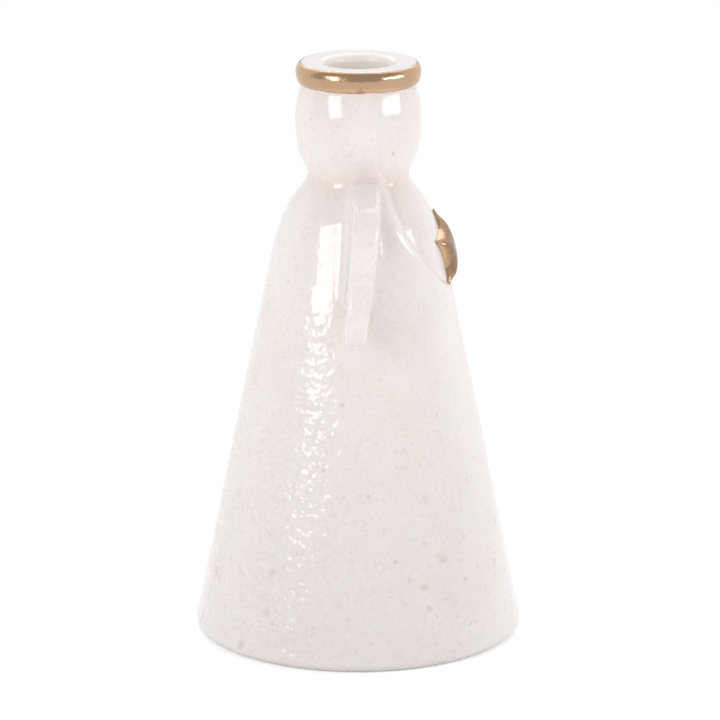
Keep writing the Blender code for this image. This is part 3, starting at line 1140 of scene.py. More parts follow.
@dataclass(frozen=True)
class GlazedFigure:
    """The whole casting, from its foot to the top of the halo."""

    body: TurnedBody
    wings: Wings
    arms: Arms
    voxel: float = 0.00120
    rough_voxel: float = 0.0020
    projections: int = 3
    relaxations: int = 3
    relaxing: float = 0.55
    last_projections: int = 1
    last_relaxations: int = 2
    least_slope: float = 0.4
    sharp_angle: float = math.radians(40.0)
    cage_steps: int = 128
    hollow_steps: int = 144
    on_surface: float = 0.00003
    crease_reach: float = 0.0042
    groove_reach: float = 0.0016

    def build(self, turning: Turning, glaze: bpy.types.Material) -> bpy.types.Object:
        """Builds the casting.

        Args:
            turning: Tree that turns sections.
            glaze: Its finish.

        Returns:
            The object.
        """
        field = FigureField(self.body, self.wings, self.arms)
        figure = self._first_mesh(turning, glaze)
        self._settle(figure.data, field, self.projections, self.relaxations)
        self._refine(figure.data, field)
        self._settle(figure.data, field, self.last_projections, self.last_relaxations)
        hollow = turning.form("hollow", self.body.hollow(), self.hollow_steps, glaze)
        cut = figure.modifiers.new("hollow", "BOOLEAN")
        cut.operation = "DIFFERENCE"
        cut.solver = "EXACT"
        cut.object = hollow
        finished = plain_object(figure)
        bpy.data.objects.remove(hollow)
        finished.name = "glazed_figure"
        finished.data.materials.clear()
        finished.data.materials.append(glaze)
        self._shade(finished.data, field)
        return finished

    def _first_mesh(self, turning: Turning, glaze: bpy.types.Material) -> bpy.types.Object:
        """The turned body, wings and arms as one even mesh.

        Args:
            turning: Tree that turns sections.
            glaze: The casting's finish.

        Returns:
            The object.
        """
        turned = turning.form("turned_body", self.body.casting(), self.cage_steps, glaze)
        form = bmesh.new()
        form.from_mesh(turned.data)
        form.from_mesh(self.wings.cage())
        form.from_mesh(self.arms.cage())
        bmesh.ops.triangulate(form, faces=[face for face in form.faces if len(face.verts) > 4])
        bpy.data.objects.remove(turned)
        obj = new_object("figure", finished_form(form, "figure"))
        remesh = obj.modifiers.new("even", "REMESH")
        remesh.mode = "VOXEL"
        remesh.voxel_size = self.voxel
        return plain_object(obj)

    def _refine(self, mesh: bpy.types.Mesh, field: FigureField) -> None:
        """Splits the mesh where wings and arms curve more tightly.

        Args:
            mesh: The mesh, which is changed.
            field: The figure's surface.
        """
        _, detailed = field.read(coordinates(mesh))
        form = bmesh.new()
        form.from_mesh(mesh)
        form.verts.ensure_lookup_table()
        edges = [edge for edge in form.edges if all(detailed[vert.index] for vert in edge.verts)]
        bmesh.ops.subdivide_edges(form, edges=edges, cuts=1, use_grid_fill=True)
        bmesh.ops.triangulate(form, faces=[face for face in form.faces if len(face.verts) > 4])
        form.to_mesh(mesh)
        form.free()

    def _settle(self, mesh: bpy.types.Mesh, field: FigureField, projections: int, relaxations: int) -> None:
        """Draws every vertex onto the figure's surface and evens out the mesh along it.

        Args:
            mesh: The mesh.
            field: The figure's surface.
            projections: Steps that only draw vertices onto the surface.
            relaxations: Steps after them that also even out the mesh.
        """
        places = coordinates(mesh)
        edges = np.empty(2 * len(mesh.edges), dtype=np.int64)
        mesh.edges.foreach_get("vertices", edges)
        edges = edges.reshape(-1, 2)
        count = np.bincount(edges.ravel(), minlength=len(places))[:, None]
        for step in range(projections + relaxations):
            if step >= projections:
                places = self._relaxed(places, edges, count, slope)
            reading, _ = field.read(places)
            slope = reading.slope / np.linalg.norm(reading.slope, axis=1)[:, None]
            steepness = np.maximum(np.linalg.norm(reading.slope, axis=1), self.least_slope)
            places = places - (reading.distance / steepness)[:, None] * slope
        mesh.vertices.foreach_set("co", places.ravel())
        mesh.update()

    def _relaxed(self, places: Array, edges: Array, count: Array, slope: Array) -> Array:
        """Vertices moved towards the middle of their neighbours, along the surface only.

        Args:
            places: Places of the vertices.
            edges: The mesh's edges, as pairs of vertices.
            count: Number of neighbours of each vertex.
            slope: Direction away from the surface at each vertex.

        Returns:
            The new places.
        """
        total = np.zeros_like(places)
        np.add.at(total, edges[:, 0], places[edges[:, 1]])
        np.add.at(total, edges[:, 1], places[edges[:, 0]])
        shift = total / count - places
        shift -= np.einsum("ij,ij->i", shift, slope)[:, None] * slope
        return places + self.relaxing * shift

    def _shade(self, mesh: bpy.types.Mesh, field: FigureField) -> None:
        """Gives the outside the true surface's normals, and marks the neck crease and the halo groove for
        painted shade.

        Args:
            mesh: The mesh, which is changed.
            field: The figure's surface.
        """
        mesh.shade_smooth()
        mesh.set_sharp_from_angle(angle=self.sharp_angle)
        places = coordinates(mesh)
        reading, _ = field.read(places)
        outside = np.abs(reading.distance) < self.on_surface
        outside &= places[:, 2] > self.on_surface
        slope = reading.slope / np.linalg.norm(reading.slope, axis=1)[:, None]
        corners = np.empty(3 * len(mesh.loops), dtype=np.float32)
        mesh.corner_normals.foreach_get("vector", corners)
        corners = corners.reshape(-1, 3)
        verts = np.empty(len(mesh.loops), dtype=np.int64)
        mesh.loops.foreach_get("vertex_index", verts)
        true = outside[verts]
        corners[true] = slope[verts[true]]
        mesh.normals_split_custom_set(corners.tolist())
        # Painted shade: a mask of the neck crease and the groove under the halo, where the glaze is painted
        # darker and warmer as if in shade.
        away = np.hypot(places[:, 0], places[:, 1]) - self.body.neck_radius
        crease = np.exp(-((away / self.crease_reach) ** 2))
        crease *= np.exp(-(((places[:, 2] - self.body.neck_height) / self.crease_reach) ** 2))
        groove = np.exp(-(((places[:, 2] - self.body.collar_height) / self.groove_reach) ** 2))
        shade_share = np.clip(np.maximum(crease, groove), 0.0, 1.0)
        layer = mesh.attributes.new("crease_shade", "FLOAT", "POINT")
        layer.data.foreach_set("value", np.where(outside, shade_share, 0.0).astype(np.float32))


# Painted gold


class Gilding(Wrapping):
    """Lays a painted film round the axis along a profile, with edges as unsteady as a brush leaves them."""

    FEATHER = 0.09
    THIN_BELOW = (0.02, 0.10)
    THIN_ABOVE = (0.90, 0.99)
    UPPER_SEED = 11.0
    WAVER_DETAIL = 2.0

    def __init__(self) -> None:
        """Builds the tree."""
        sizes = dict.fromkeys(("Film", "Sink", "Lower Edge", "Upper Edge", "Waver", "Ripple", "Seed"), FLOAT)
        inputs = {"Profile": GEOMETRY, "Steps": INTEGER, "Rows": INTEGER, "Material": MATERIAL, **sizes}
        super().__init__("gilding", inputs)
        rows = self.given["Rows"]
        grid, row, cosine, sine = self._grid(self.sum(rows, 1.0))
        share = self.math("DIVIDE", row, rows)
        lower = self._edge(cosine, sine, 0.0, self.given["Lower Edge"])
        upper = self._edge(cosine, sine, self.UPPER_SEED, self.given["Upper Edge"])
        span = self.math("SUBTRACT", upper, lower)
        factor = self.math("ADD", lower, self.times(span, share), clamp=True)
        curve = self.node("GeometryNodeMeshToCurve", {"Mesh": self.given["Profile"]}).outputs[0]
        sample = self.node("GeometryNodeSampleCurve", mode="FACTOR", data_type="FLOAT")
        self.fill(sample, {"Curves": curve, "Factor": factor})
        place = self.node("ShaderNodeSeparateXYZ", {0: sample.outputs["Position"]}).outputs
        tangent = self.node("ShaderNodeSeparateXYZ", {0: sample.outputs["Tangent"]}).outputs
        inset = self.math("MINIMUM", share, self.math("SUBTRACT", 1.0, share))
        body = self.ramp(inset, 0.0, self.FEATHER)
        rise = self.times(body, self.sum(self.given["Film"], self.given["Sink"]))
        proud = self.math("SUBTRACT", rise, self.given["Sink"])
        radius = self.sum(place["X"], self.times(tangent["Z"], proud))
        height = self.math("SUBTRACT", place["Z"], self.times(tangent["X"], proud))
        laid = self._turned(grid, radius, height, (cosine, sine))
        thin_below = self.ramp(share, *self.THIN_BELOW, 1.0, 0.0)
        thin_above = self.ramp(share, *self.THIN_ABOVE)
        thin = self.math("MAXIMUM", thin_below, thin_above)
        marked = self.node("GeometryNodeStoreNamedAttribute", data_type="FLOAT", domain="POINT")
        self.fill(marked, {"Geometry": laid, "Name": "paint_edge", "Value": thin})
        self._put_out(marked.outputs[0])

    def _edge(self, cosine: object, sine: object, offset: float, level: object) -> Socket:
        """Where an edge of the film lies along the profile, wavering round the axis.

        Args:
            cosine: Cosine of each vertex's angle.
            sine: Sine of each vertex's angle.
            offset: What sets this edge's wavering apart from the other's.
            level: Share of the profile at which the edge lies without wavering.

        Returns:
            Share of the profile at which the edge lies.
        """
        inputs = {
            "Vector": self.node("ShaderNodeCombineXYZ", {0: cosine, 1: sine}).outputs[0],
            "W": self.sum(self.given["Seed"], offset),
            "Scale": self.given["Ripple"],
            "Detail": self.WAVER_DETAIL,
        }
        noise = self.node("ShaderNodeTexNoise", inputs, noise_dimensions="4D").outputs[0]
        return self.sum(level, self.times(self.math("SUBTRACT", noise, 0.5), self.given["Waver"]))


@dataclass(frozen=True)
class HaloGilding:
    """The gold on the outer side of the halo roll."""

    body: TurnedBody
    steps: int = 240
    rows: int = 28
    film: float = 0.00005
    sink: float = 0.00005
    depth: float = 0.00025
    lower_edge: float = 0.03
    upper_edge: float = 0.95
    waver: float = 0.12
    ripple: float = 1.5
    seed: float = 4.0

    def build(self, gilding: Gilding, gold: bpy.types.Material) -> bpy.types.Object:
        """Builds the film.

        Args:
            gilding: Tree that lays the film.
            gold: Its finish.

        Returns:
            The object.
        """
        obj = new_object("halo_gilding", polyline_mesh("halo_gilding", self.body.halo()))
        sizes = ("steps", "rows", "film", "sink", "lower_edge", "upper_edge", "waver", "ripple", "seed")
        inputs = {name.replace("_", " ").title(): getattr(self, name) for name in sizes}
        gilding.modify(obj, {**inputs, "Material": gold})
        film = plain_object(obj)
        form = bmesh.new()
        form.from_mesh(film.data)
        outward = 0.0
        for face in form.faces:
            middle = face.calc_center_median()
            outward += face.normal.dot((middle.x, middle.y, 0.0))
        if outward < 0.0:
            bmesh.ops.reverse_faces(form, faces=form.faces)
        form.to_mesh(film.data)
        form.free()
        backing = film.modifiers.new("thickness", "SOLIDIFY")
        backing.thickness = self.depth
        backing.offset = -1.0
        return plain_object(film)


@dataclass(frozen=True)
class GiltStar:
    """A puffed five-pointed star that follows the round of the chest."""

    body: TurnedBody
    points: int = 5
    radius: float = 0.0146
    notch_radius: float = 0.0074
    lean: float = math.radians(5.0)
    crown: float = 0.0042
    shoulder: float = 0.0038
    shoulder_share: float = 0.5
    brow: float = 0.0030
    brow_share: float = 0.84
    # Painted reflection: the star's crown is painted dark, and its brow partly, as if they reflected a dark
    # room.
    brow_dark_reflection: float = 0.55
    edge: float = 0.0008
    sink: float = 0.002
    point_crease: float = 0.9
    below_neck: float = 0.0264
    smoothing: int = 4

    @property
    def centre_height(self) -> float:
        """Height of the star's middle."""
        return self.body.neck_height - self.below_neck

    def build(self, gold: bpy.types.Material) -> bpy.types.Object:
        """Builds the star.

        Args:
            gold: Its finish.

        Returns:
            The object.
        """
        form = bmesh.new()
        crease = form.verts.layers.float.new("crease_vert")
        edge_mark = form.verts.layers.float.new("paint_edge")
        dark_reflection_mark = form.verts.layers.float.new("painted_dark_reflection")
        rings = [
            self._ring(form, self.shoulder_share, -self.sink),
            self._ring(form, 1.0, -self.sink),
            self._ring(form, 1.0, self.edge),
            self._ring(form, self.brow_share, self.brow),
            self._ring(form, self.shoulder_share, self.shoulder),
        ]
        back = form.verts.new(self._place(0.0, self.centre_height, -self.sink))
        crown = form.verts.new(self._place(0.0, self.centre_height, self.crown))
        count = 2 * self.points
        for low, high in zip(rings, rings[1:]):
            bridge(form, low, high)
        for i in range(count):
            form.faces.new((back, rings[0][(i + 1) % count], rings[0][i]))
            form.faces.new((crown, rings[-1][i], rings[-1][(i + 1) % count]))
        bmesh.ops.recalc_face_normals(form, faces=form.faces)
        # Painted dark reflection on the star's crown and, in part, on its brow.
        for vert in (crown, *rings[-1]):
            vert[dark_reflection_mark] = 1.0
        for vert in rings[-2]:
            vert[dark_reflection_mark] = self.brow_dark_reflection
        for ring in rings[:2]:
            for vert in ring:
                vert[edge_mark] = 1.0
        for ring in rings[1:3]:
            for tip in ring[::2]:
                tip[crease] = self.point_crease
        mesh = finished_form(form, "gilt_star")
        mesh.materials.append(gold)
        obj = new_object("gilt_star", mesh)
        soften = obj.modifiers.new("soften", "SUBSURF")
        soften.levels = self.smoothing
        soften.render_levels = self.smoothing
        star = plain_object(obj)
        star.data.shade_smooth()
        return star

    def _ring(self, form: bmesh.types.BMesh, share: float, height: float) -> list:
        """Vertices on the star's outline, drawn in by a share and laid on the chest at a height.

        Args:
            form: The form that takes the vertices.
            share: Size of the ring as a share of the outline's.
            height: Height above the chest.

        Returns:
            The vertices, a tip first.
        """
        chest = float(self.body.outer_radius(self.centre_height))
        ring = []
        for i in range(2 * self.points):
            radius = share * (self.notch_radius if i % 2 else self.radius)
            angle = math.pi * i / self.points + self.lean
            turn = radius * math.sin(angle) / chest
            level = self.centre_height + radius * math.cos(angle)
            ring.append(form.verts.new(self._place(turn, level, height)))
        return ring

    def _place(self, turn: float, height: float, proud: float) -> tuple[float, ...]:
        """A point on or near the chest."""
        return tuple(self.body.on_body(np.array([turn]), np.array([height]), proud)[0])


# Finishes


class Scatter(Group):
    """A group whose mask shows where specks or flecks lie."""

    def mask(self, graph: Graph, vector: object, sizes: dict[str, object]) -> Socket:
        """Mask of the specks or flecks of some sizes, looked up at a vector."""
        return self.place(graph, {"Vector": vector, **sizes})


class Specks(Scatter):
    """Round specks of uneven size scattered through a glaze."""

    WOBBLE_SCALE = 1.7
    WOBBLE_REACH = 0.6
    UNEVENNESS = 0.8
    SMALLEST = 0.35

    def __init__(self) -> None:
        """Builds the group."""
        inputs = {"Vector": VECTOR, **dict.fromkeys(("Spacing", "Size", "Share", "Softness"), FLOAT)}
        super().__init__("ShaderNodeTree", "glaze_specks", inputs, {"Mask": FLOAT})
        vector = self.given["Vector"]
        spacing = self.given["Spacing"]
        scale = self.math("DIVIDE", 1.0, spacing)
        wobble_inputs = {"Vector": vector, "Scale": self.times(scale, self.WOBBLE_SCALE)}
        wobble = self.node("ShaderNodeTexNoise", wobble_inputs).outputs["Color"]
        middle = {0: wobble, 1: (0.5, 0.5, 0.5)}
        bent = self.node("ShaderNodeVectorMath", middle, operation="SUBTRACT").outputs[0]
        moved = self.node("ShaderNodeVectorMath", {0: bent}, operation="SCALE")
        self.feed(moved.inputs["Scale"], self.times(spacing, self.WOBBLE_REACH))
        shifted = {0: vector, 1: moved.outputs[0]}
        placed = self.node("ShaderNodeVectorMath", shifted, operation="ADD").outputs[0]
        cells = self.node("ShaderNodeTexVoronoi", {"Vector": placed, "Scale": scale, "Randomness": 1.0})
        draw = self.node("ShaderNodeSeparateColor", {0: cells.outputs["Color"]}).outputs
        kept = self.math("LESS_THAN", draw[0], self.given["Share"])
        uneven = self.sum(self.times(draw[1], self.UNEVENNESS), self.SMALLEST)
        radius = self.times(self.given["Size"], uneven)
        inner = self.times(radius, self.math("SUBTRACT", 1.0, self.given["Softness"]))
        mask = self.ramp(cells.outputs["Distance"], inner, radius, 1.0, 0.0)
        self.feed(self.result["Mask"], self.times(mask, kept))


class Flecks(Scatter):
    """Fine irregular flecks that cover a share of a glaze."""

    DETAIL = 3.0
    RAGGEDNESS = 0.55

    def __init__(self) -> None:
        """Builds the group."""
        inputs = {"Vector": VECTOR, **dict.fromkeys(("Size", "Level", "Softness"), FLOAT)}
        super().__init__("ShaderNodeTree", "glaze_flecks", inputs, {"Mask": FLOAT})
        noise_inputs = {
            "Vector": self.given["Vector"],
            "Scale": self.math("DIVIDE", 1.0, self.given["Size"]),
            "Detail": self.DETAIL,
            "Roughness": self.RAGGEDNESS,
        }
        noise = self.node("ShaderNodeTexNoise", noise_inputs).outputs[0]
        full = self.sum(self.given["Level"], self.given["Softness"])
        self.feed(self.result["Mask"], self.ramp(noise, self.given["Level"], full))


class Ripples(Group):
    """Relief of a fired glaze: broad waves, orange peel, combed runs and pinholes."""

    PINHOLES = {"Spacing": 0.0028, "Size": 0.2, "Share": 0.35, "Softness": 0.9}
    PEEL_DETAIL = 1.5
    WAVE_DETAIL = 1.0
    COMB_SIZE = 0.0022
    COMB_STRETCH = (1.0, 1.0, 0.05)

    def __init__(self, specks: Specks) -> None:
        """Builds the group.

        Args:
            specks: Group of round specks, for the pinholes.
        """
        sizes = dict.fromkeys(("Peel", "Pits", "Waves", "Combing", "Peel Size", "Wave Size"), FLOAT)
        super().__init__("ShaderNodeTree", "glaze_relief", {"Vector": VECTOR, **sizes}, {"Height": FLOAT})
        vector = self.given["Vector"]
        peel = self._waves(vector, self.given["Peel Size"], self.PEEL_DETAIL)
        broad = self._waves(vector, self.given["Wave Size"], self.WAVE_DETAIL)
        combing = self._waves(self.scaled(vector, self.COMB_STRETCH), self.COMB_SIZE, self.WAVE_DETAIL)
        pits = specks.mask(self, vector, self.PINHOLES)
        height = self.times(peel, self.given["Peel"])
        height = self.sum(height, self.times(broad, self.given["Waves"]))
        height = self.math("SUBTRACT", height, self.times(pits, self.given["Pits"]))
        height = self.sum(height, self.times(combing, self.given["Combing"]))
        self.feed(self.result["Height"], height)

    def _waves(self, vector: object, size: object, detail: float) -> Socket:
        """Soft waves of one size."""
        return self.noise(vector, self.math("DIVIDE", 1.0, size), detail)


class Mottle(Group):
    """Slow drifts of tone through a glaze, some of them run down in streaks."""

    CLOUD_SCALE = 38.0
    CLOUD_DETAIL = 3.0
    CLOUD_LEVELS = (0.45, 0.75)
    RUN_SCALE = 85.0
    RUN_DETAIL = 2.0
    RUN_LEVELS = (0.48, 0.74)
    RUN_STRETCH = (1.0, 1.0, 0.09)

    def __init__(self) -> None:
        """Builds the group."""
        tones = dict.fromkeys(("Base", "Warm", "Cool"), COLOUR)
        inputs = {"Vector": VECTOR, **tones, "Drift": FLOAT, "Streaks": FLOAT}
        super().__init__("ShaderNodeTree", "glaze_mottle", inputs, {"Color": COLOUR})
        vector = self.given["Vector"]
        cloud = self.noise(vector, self.CLOUD_SCALE, self.CLOUD_DETAIL)
        runs = self.noise(self.scaled(vector, self.RUN_STRETCH), self.RUN_SCALE, self.RUN_DETAIL)
        warm = self.times(self.ramp(cloud, *self.CLOUD_LEVELS), self.given["Drift"])
        cool = self.times(self.ramp(runs, *self.RUN_LEVELS), self.given["Streaks"])
        tone = self.blend(warm, self.given["Base"], self.given["Warm"])
        self.feed(self.result["Color"], self.blend(cool, tone, self.given["Cool"]))


def new_finish(name: str) -> tuple[bpy.types.Material, Graph, bpy.types.Node]:
    """Makes a material.

    Args:
        name: Its name.

    Returns:
        The material, its tree and its Principled shader.
    """
    material = bpy.data.materials.new(name)
    material.use_nodes = True
    return material, Graph(material.node_tree), material.node_tree.nodes["Principled BSDF"]


@dataclass(frozen=True)
class IvoryGlaze:
    """A glossy ivory glaze with rust-pink specks, darker and more pitted towards the hem."""

    base: tuple[float, ...] = (0.905, 0.85, 0.83, 1.0)
    warm: tuple[float, ...] = (0.88, 0.785, 0.735, 1.0)
    cool: tuple[float, ...] = (0.83, 0.79, 0.78, 1.0)
    fine_speck: tuple[float, ...] = (0.74, 0.58, 0.52, 1.0)
    rust_speck: tuple[float, ...] = (0.58, 0.36, 0.29, 1.0)
    # Painted shade: the warm, darker tone laid into the neck crease and the halo groove.
    crease: tuple[float, ...] = (0.84, 0.72, 0.60, 1.0)
    bare_clay: tuple[float, ...] = (0.74, 0.68, 0.60, 1.0)
    hem_tone: tuple[float, ...] = (0.78, 0.735, 0.72, 1.0)
    # Painted light: a lighter, warmer cream inside the socket bore, standing in for light bounced round it.
    bore_bounce_light: tuple[float, ...] = (0.97, 0.92, 0.88, 1.0)
    drift: float = 0.55
    streaks: float = 0.45
    fine_strength: float = 0.18
    coarse_level: float = 0.61
    coarse_gain: float = 0.03
    coarse_strength: float = 0.20
    rust_share: float = 0.10
    rust_gain: float = 0.30
    rust_strength: float = 0.38
    hem_strength: float = 0.55
    crease_shade_strength: float = 0.4
    bore_radii: tuple[float, float] = (0.0135, 0.0118)
    bore_heights: tuple[float, float] = (0.164, 0.168)
    bare_heights: tuple[float, float] = (0.0004, 0.00005)
    waist: float = 0.115
    hem: float = 0.0
    roughness: float = 0.055
    fine_roughness: float = 0.02
    bare_roughness: float = 0.5
    relief: float = 0.0006
    smooth_above: float = 0.096
    peel_below: float = 0.082
    peel_tilt: float = 2.0
    peel: float = 0.12
    peel_gain: float = 0.85
    pits: float = 0.03
    pits_gain: float = 0.15

    FINE = {"Size": 0.0014, "Level": 0.50, "Softness": 0.16}
    COARSE = {"Size": 0.0032, "Softness": 0.12}
    RUST = {"Spacing": 0.0034, "Size": 0.30, "Softness": 0.9}
    BLOTCHES = {"Spacing": 0.0085, "Size": 0.32, "Share": 0.7, "Softness": 0.9}
    RELIEF = {"Waves": 0.5, "Combing": 0.10, "Peel Size": 0.0030, "Wave Size": 0.02}
    BODY = {
        "IOR": 1.6,
        "Sheen Weight": 0.12,
        "Sheen Roughness": 0.35,
        "Sheen Tint": (0.86, 0.87, 1.0, 1.0),
        "Subsurface Weight": 0.3,
        "Subsurface Radius": (1.0, 0.8, 0.65),
        "Subsurface Scale": 0.003,
    }

    def build(self, specks: Specks, flecks: Flecks, ripples: Ripples, mottle: Mottle) -> bpy.types.Material:
        """Builds the glaze.

        Args:
            specks: Group of round specks.
            flecks: Group of fine flecks.
            ripples: Group of glaze relief.
            mottle: Group of drifting tones.

        Returns:
            The material.
        """
        material, graph, shader = new_finish("ivory_glaze")
        vector = graph.node("ShaderNodeTexCoord").outputs["Object"]
        place = graph.node("ShaderNodeSeparateXYZ", {0: vector}).outputs
        low = graph.ramp(place["Z"], self.waist, self.hem)
        bare = graph.ramp(place["Z"], *self.bare_heights)
        fine = flecks.mask(graph, vector, self.FINE)
        level = graph.math("SUBTRACT", self.coarse_level, graph.times(low, self.coarse_gain))
        coarse = flecks.mask(graph, vector, {**self.COARSE, "Level": level})
        share = graph.sum(graph.times(low, self.rust_gain), self.rust_share)
        rust = specks.mask(graph, vector, {**self.RUST, "Share": share})
        rust = graph.math("MAXIMUM", rust, graph.times(specks.mask(graph, vector, self.BLOTCHES), low))
        tone = self._ground(graph, mottle, vector, low)
        tone = graph.blend(graph.times(fine, self.fine_strength), tone, self.fine_speck)
        tone = graph.blend(graph.times(coarse, self.coarse_strength), tone, self.fine_speck)
        tone = graph.blend(graph.times(rust, self.rust_strength), tone, self.rust_speck)
        rough = graph.sum(graph.times(fine, self.fine_roughness), self.roughness)
        dipped = graph.math("SUBTRACT", place["Z"], graph.times(place["Y"], self.peel_tilt))
        peeled = graph.ramp(dipped, self.smooth_above, self.peel_below)
        relief = {
            "Vector": vector,
            "Peel": graph.sum(graph.times(peeled, self.peel_gain), self.peel),
            "Pits": graph.sum(graph.times(low, self.pits_gain), self.pits),
            **self.RELIEF,
        }
        surface = {
            "Base Color": graph.blend(bare, tone, self.bare_clay),
            "Roughness": graph.sum(rough, graph.times(bare, self.bare_roughness)),
            "Normal": graph.bump(ripples.place(graph, relief), self.relief),
            **self.BODY,
        }
        graph.fill(shader, surface)
        return material

    def _ground(self, graph: Graph, mottle: Mottle, vector: object, low: object) -> Socket:
        """Tone of the glaze under its specks, with painted shade in the neck crease and halo groove and
        painted bounce light in the socket bore.

        Args:
            graph: The material's tree.
            mottle: Group of drifting tones.
            vector: Place on the figure.
            low: How near the hem that place is.

        Returns:
            The colour.
        """
        inputs = {
            "Vector": vector,
            "Base": self.base,
            "Warm": self.warm,
            "Cool": self.cool,
            "Drift": self.drift,
            "Streaks": self.streaks,
        }
        tone = graph.blend(graph.times(low, self.hem_strength), mottle.place(graph, inputs), self.hem_tone)
        # Painted shade in the neck crease and the halo groove.
        shade_share = graph.times(graph.attribute("crease_shade"), self.crease_shade_strength)
        tone = graph.blend(shade_share, tone, self.crease)
        # Painted bounce light: a mask of the inside of the socket bore, which is painted lighter.
        place = graph.node("ShaderNodeSeparateXYZ", {0: vector}).outputs
        level = graph.node("ShaderNodeCombineXYZ", {0: place["X"], 1: place["Y"]}).outputs[0]
        away = graph.node("ShaderNodeVectorMath", {0: level}, operation="LENGTH").outputs["Value"]
        bore = graph.times(graph.ramp(away, *self.bore_radii), graph.ramp(place["Z"], *self.bore_heights))
        return graph.blend(bore, tone, self.bore_bounce_light)


@dataclass(frozen=True)
class GoldLustre:
    """Painted gold, polished where it is thick and browner where the brush left it thin."""

    gold: tuple[float, ...] = (0.58, 0.385, 0.245, 1.0)
    deep: tuple[float, ...] = (0.46, 0.29, 0.16, 1.0)
    burnt: tuple[float, ...] = (0.42, 0.22, 0.11, 1.0)
    # Painted reflection: a deep reddish brown over the star's crown, standing in for the dark room that it
    # reflects.
    painted_dark_reflection: tuple[float, ...] = (0.25, 0.12, 0.062, 1.0)
    dark_reflection_strength: float = 0.95
    drift: float = 0.5
    streaks: float = 0.2
    worn_strength: float = 0.6
    worn_roughness: float = 0.25
    edge_dulling: float = 0.4
    roughness: float = 0.10
    brushing: float = 0.18
    brush_scale: float = 260.0
    brush_detail: float = 3.0
    brush_stretch: tuple[float, ...] = (1.0, 1.0, 7.0)
    relief: float = 0.00022

    WORN = {"Spacing": 0.0026, "Size": 0.22, "Share": 0.16, "Softness": 0.8}
    RELIEF = {"Peel": 0.7, "Pits": 0.5, "Waves": 0.5, "Peel Size": 0.0022, "Wave Size": 0.009}

    def build(self, specks: Specks, ripples: Ripples, mottle: Mottle) -> bpy.types.Material:
        """Builds the gold.

        Args:
            specks: Group of specks.
            ripples: Group of glaze relief.
            mottle: Group of drifting tones.

        Returns:
            The material.
        """
        material, graph, shader = new_finish("gold_lustre")
        vector = graph.node("ShaderNodeTexCoord").outputs["Object"]
        edge = graph.attribute("paint_edge")
        # Share of the painted dark reflection on the star.
        second = graph.times(graph.attribute("painted_dark_reflection"), self.dark_reflection_strength)
        worn = specks.mask(graph, vector, self.WORN)
        inputs = {
            "Vector": vector,
            "Base": self.gold,
            "Warm": self.deep,
            "Cool": self.gold,
            "Drift": self.drift,
            "Streaks": self.streaks,
        }
        tone = graph.blend(second, mottle.place(graph, inputs), self.painted_dark_reflection)
        thin = graph.math("MAXIMUM", edge, graph.times(worn, self.worn_strength))
        brushed = graph.scaled(vector, self.brush_stretch)
        strokes = graph.noise(brushed, self.brush_scale, self.brush_detail)
        rough = graph.sum(graph.times(strokes, self.brushing), self.roughness)
        height = ripples.place(graph, {"Vector": vector, **self.RELIEF})
        surface = {
            "Base Color": graph.blend(thin, tone, self.burnt),
            "Metallic": graph.math("SUBTRACT", 1.0, graph.times(edge, self.edge_dulling)),
            "Roughness": graph.sum(rough, graph.times(worn, self.worn_roughness)),
            "Normal": graph.bump(height, self.relief),
        }
        graph.fill(shader, surface)
        return material


# Studio


class Side(Enum):
    """Sides of the camera on which a lamp can stand."""

    LEFT = -1
    RIGHT = 1


@dataclass(frozen=True)
class Camera:
    """The camera at the photograph's viewing angle."""

    azimuth: float = math.radians(-92.0)
    distance: float = 1.4
    height: float = 0.4773
    aim: float = 0.09242
    lens: float = 215.35
    sensor: float = 36.0
    shift: float = 0.0022
    nearest: float = 0.01

    def direction(self, turn: float = 0.0) -> Vector:
        """Level direction from the figure towards the camera, turned round to its right."""
        angle = self.azimuth + turn
        return Vector((math.sin(angle), -math.cos(angle), 0.0))

    def build(self) -> None:
        """Makes the scene's camera."""
        data = bpy.data.cameras.new("camera")
        data.lens = self.lens
        data.sensor_width = self.sensor
        data.shift_x = self.shift
        data.clip_start = self.nearest
        obj = new_object("camera", data)
        obj.location = self.distance * self.direction() + Vector((0.0, 0.0, self.height))
        look = Vector((0.0, 0.0, self.aim)) - obj.location
        obj.rotation_euler = look.to_track_quat("-Z", "Y").to_euler()
        bpy.context.scene.camera = obj


@dataclass(frozen=True)
class SoftBox:
    """A soft rectangular lamp, placed by its direction from the figure."""

    name: str
    side: Side
    turn: float
    rise: float
    width: float
    height: float
    radiance: float
    distance: float
    roll: float = 0.0

    def build(self, camera: Camera) -> None:
        """Makes the lamp, aimed at the figure.

        Args:
            camera: The camera, from whose direction the lamp is turned.
        """
        data = bpy.data.lights.new(self.name, "AREA")
        data.shape = "RECTANGLE"
        data.size = self.width
        data.size_y = self.height
        data.energy = self.radiance * math.pi * self.width * self.height
        obj = new_object(self.name, data)
        level = camera.direction(self.side.value * math.radians(self.turn))
        rise = math.radians(self.rise)
        target = Vector((0.0, 0.0, camera.aim))
        towards = level * math.cos(rise) + Vector((0.0, 0.0, math.sin(rise)))
        obj.location = target + self.distance * towards
        facing = (-towards).to_track_quat("-Z", "Y")
        obj.rotation_euler = (facing @ Quaternion((0.0, 0.0, 1.0), math.radians(self.roll))).to_euler()


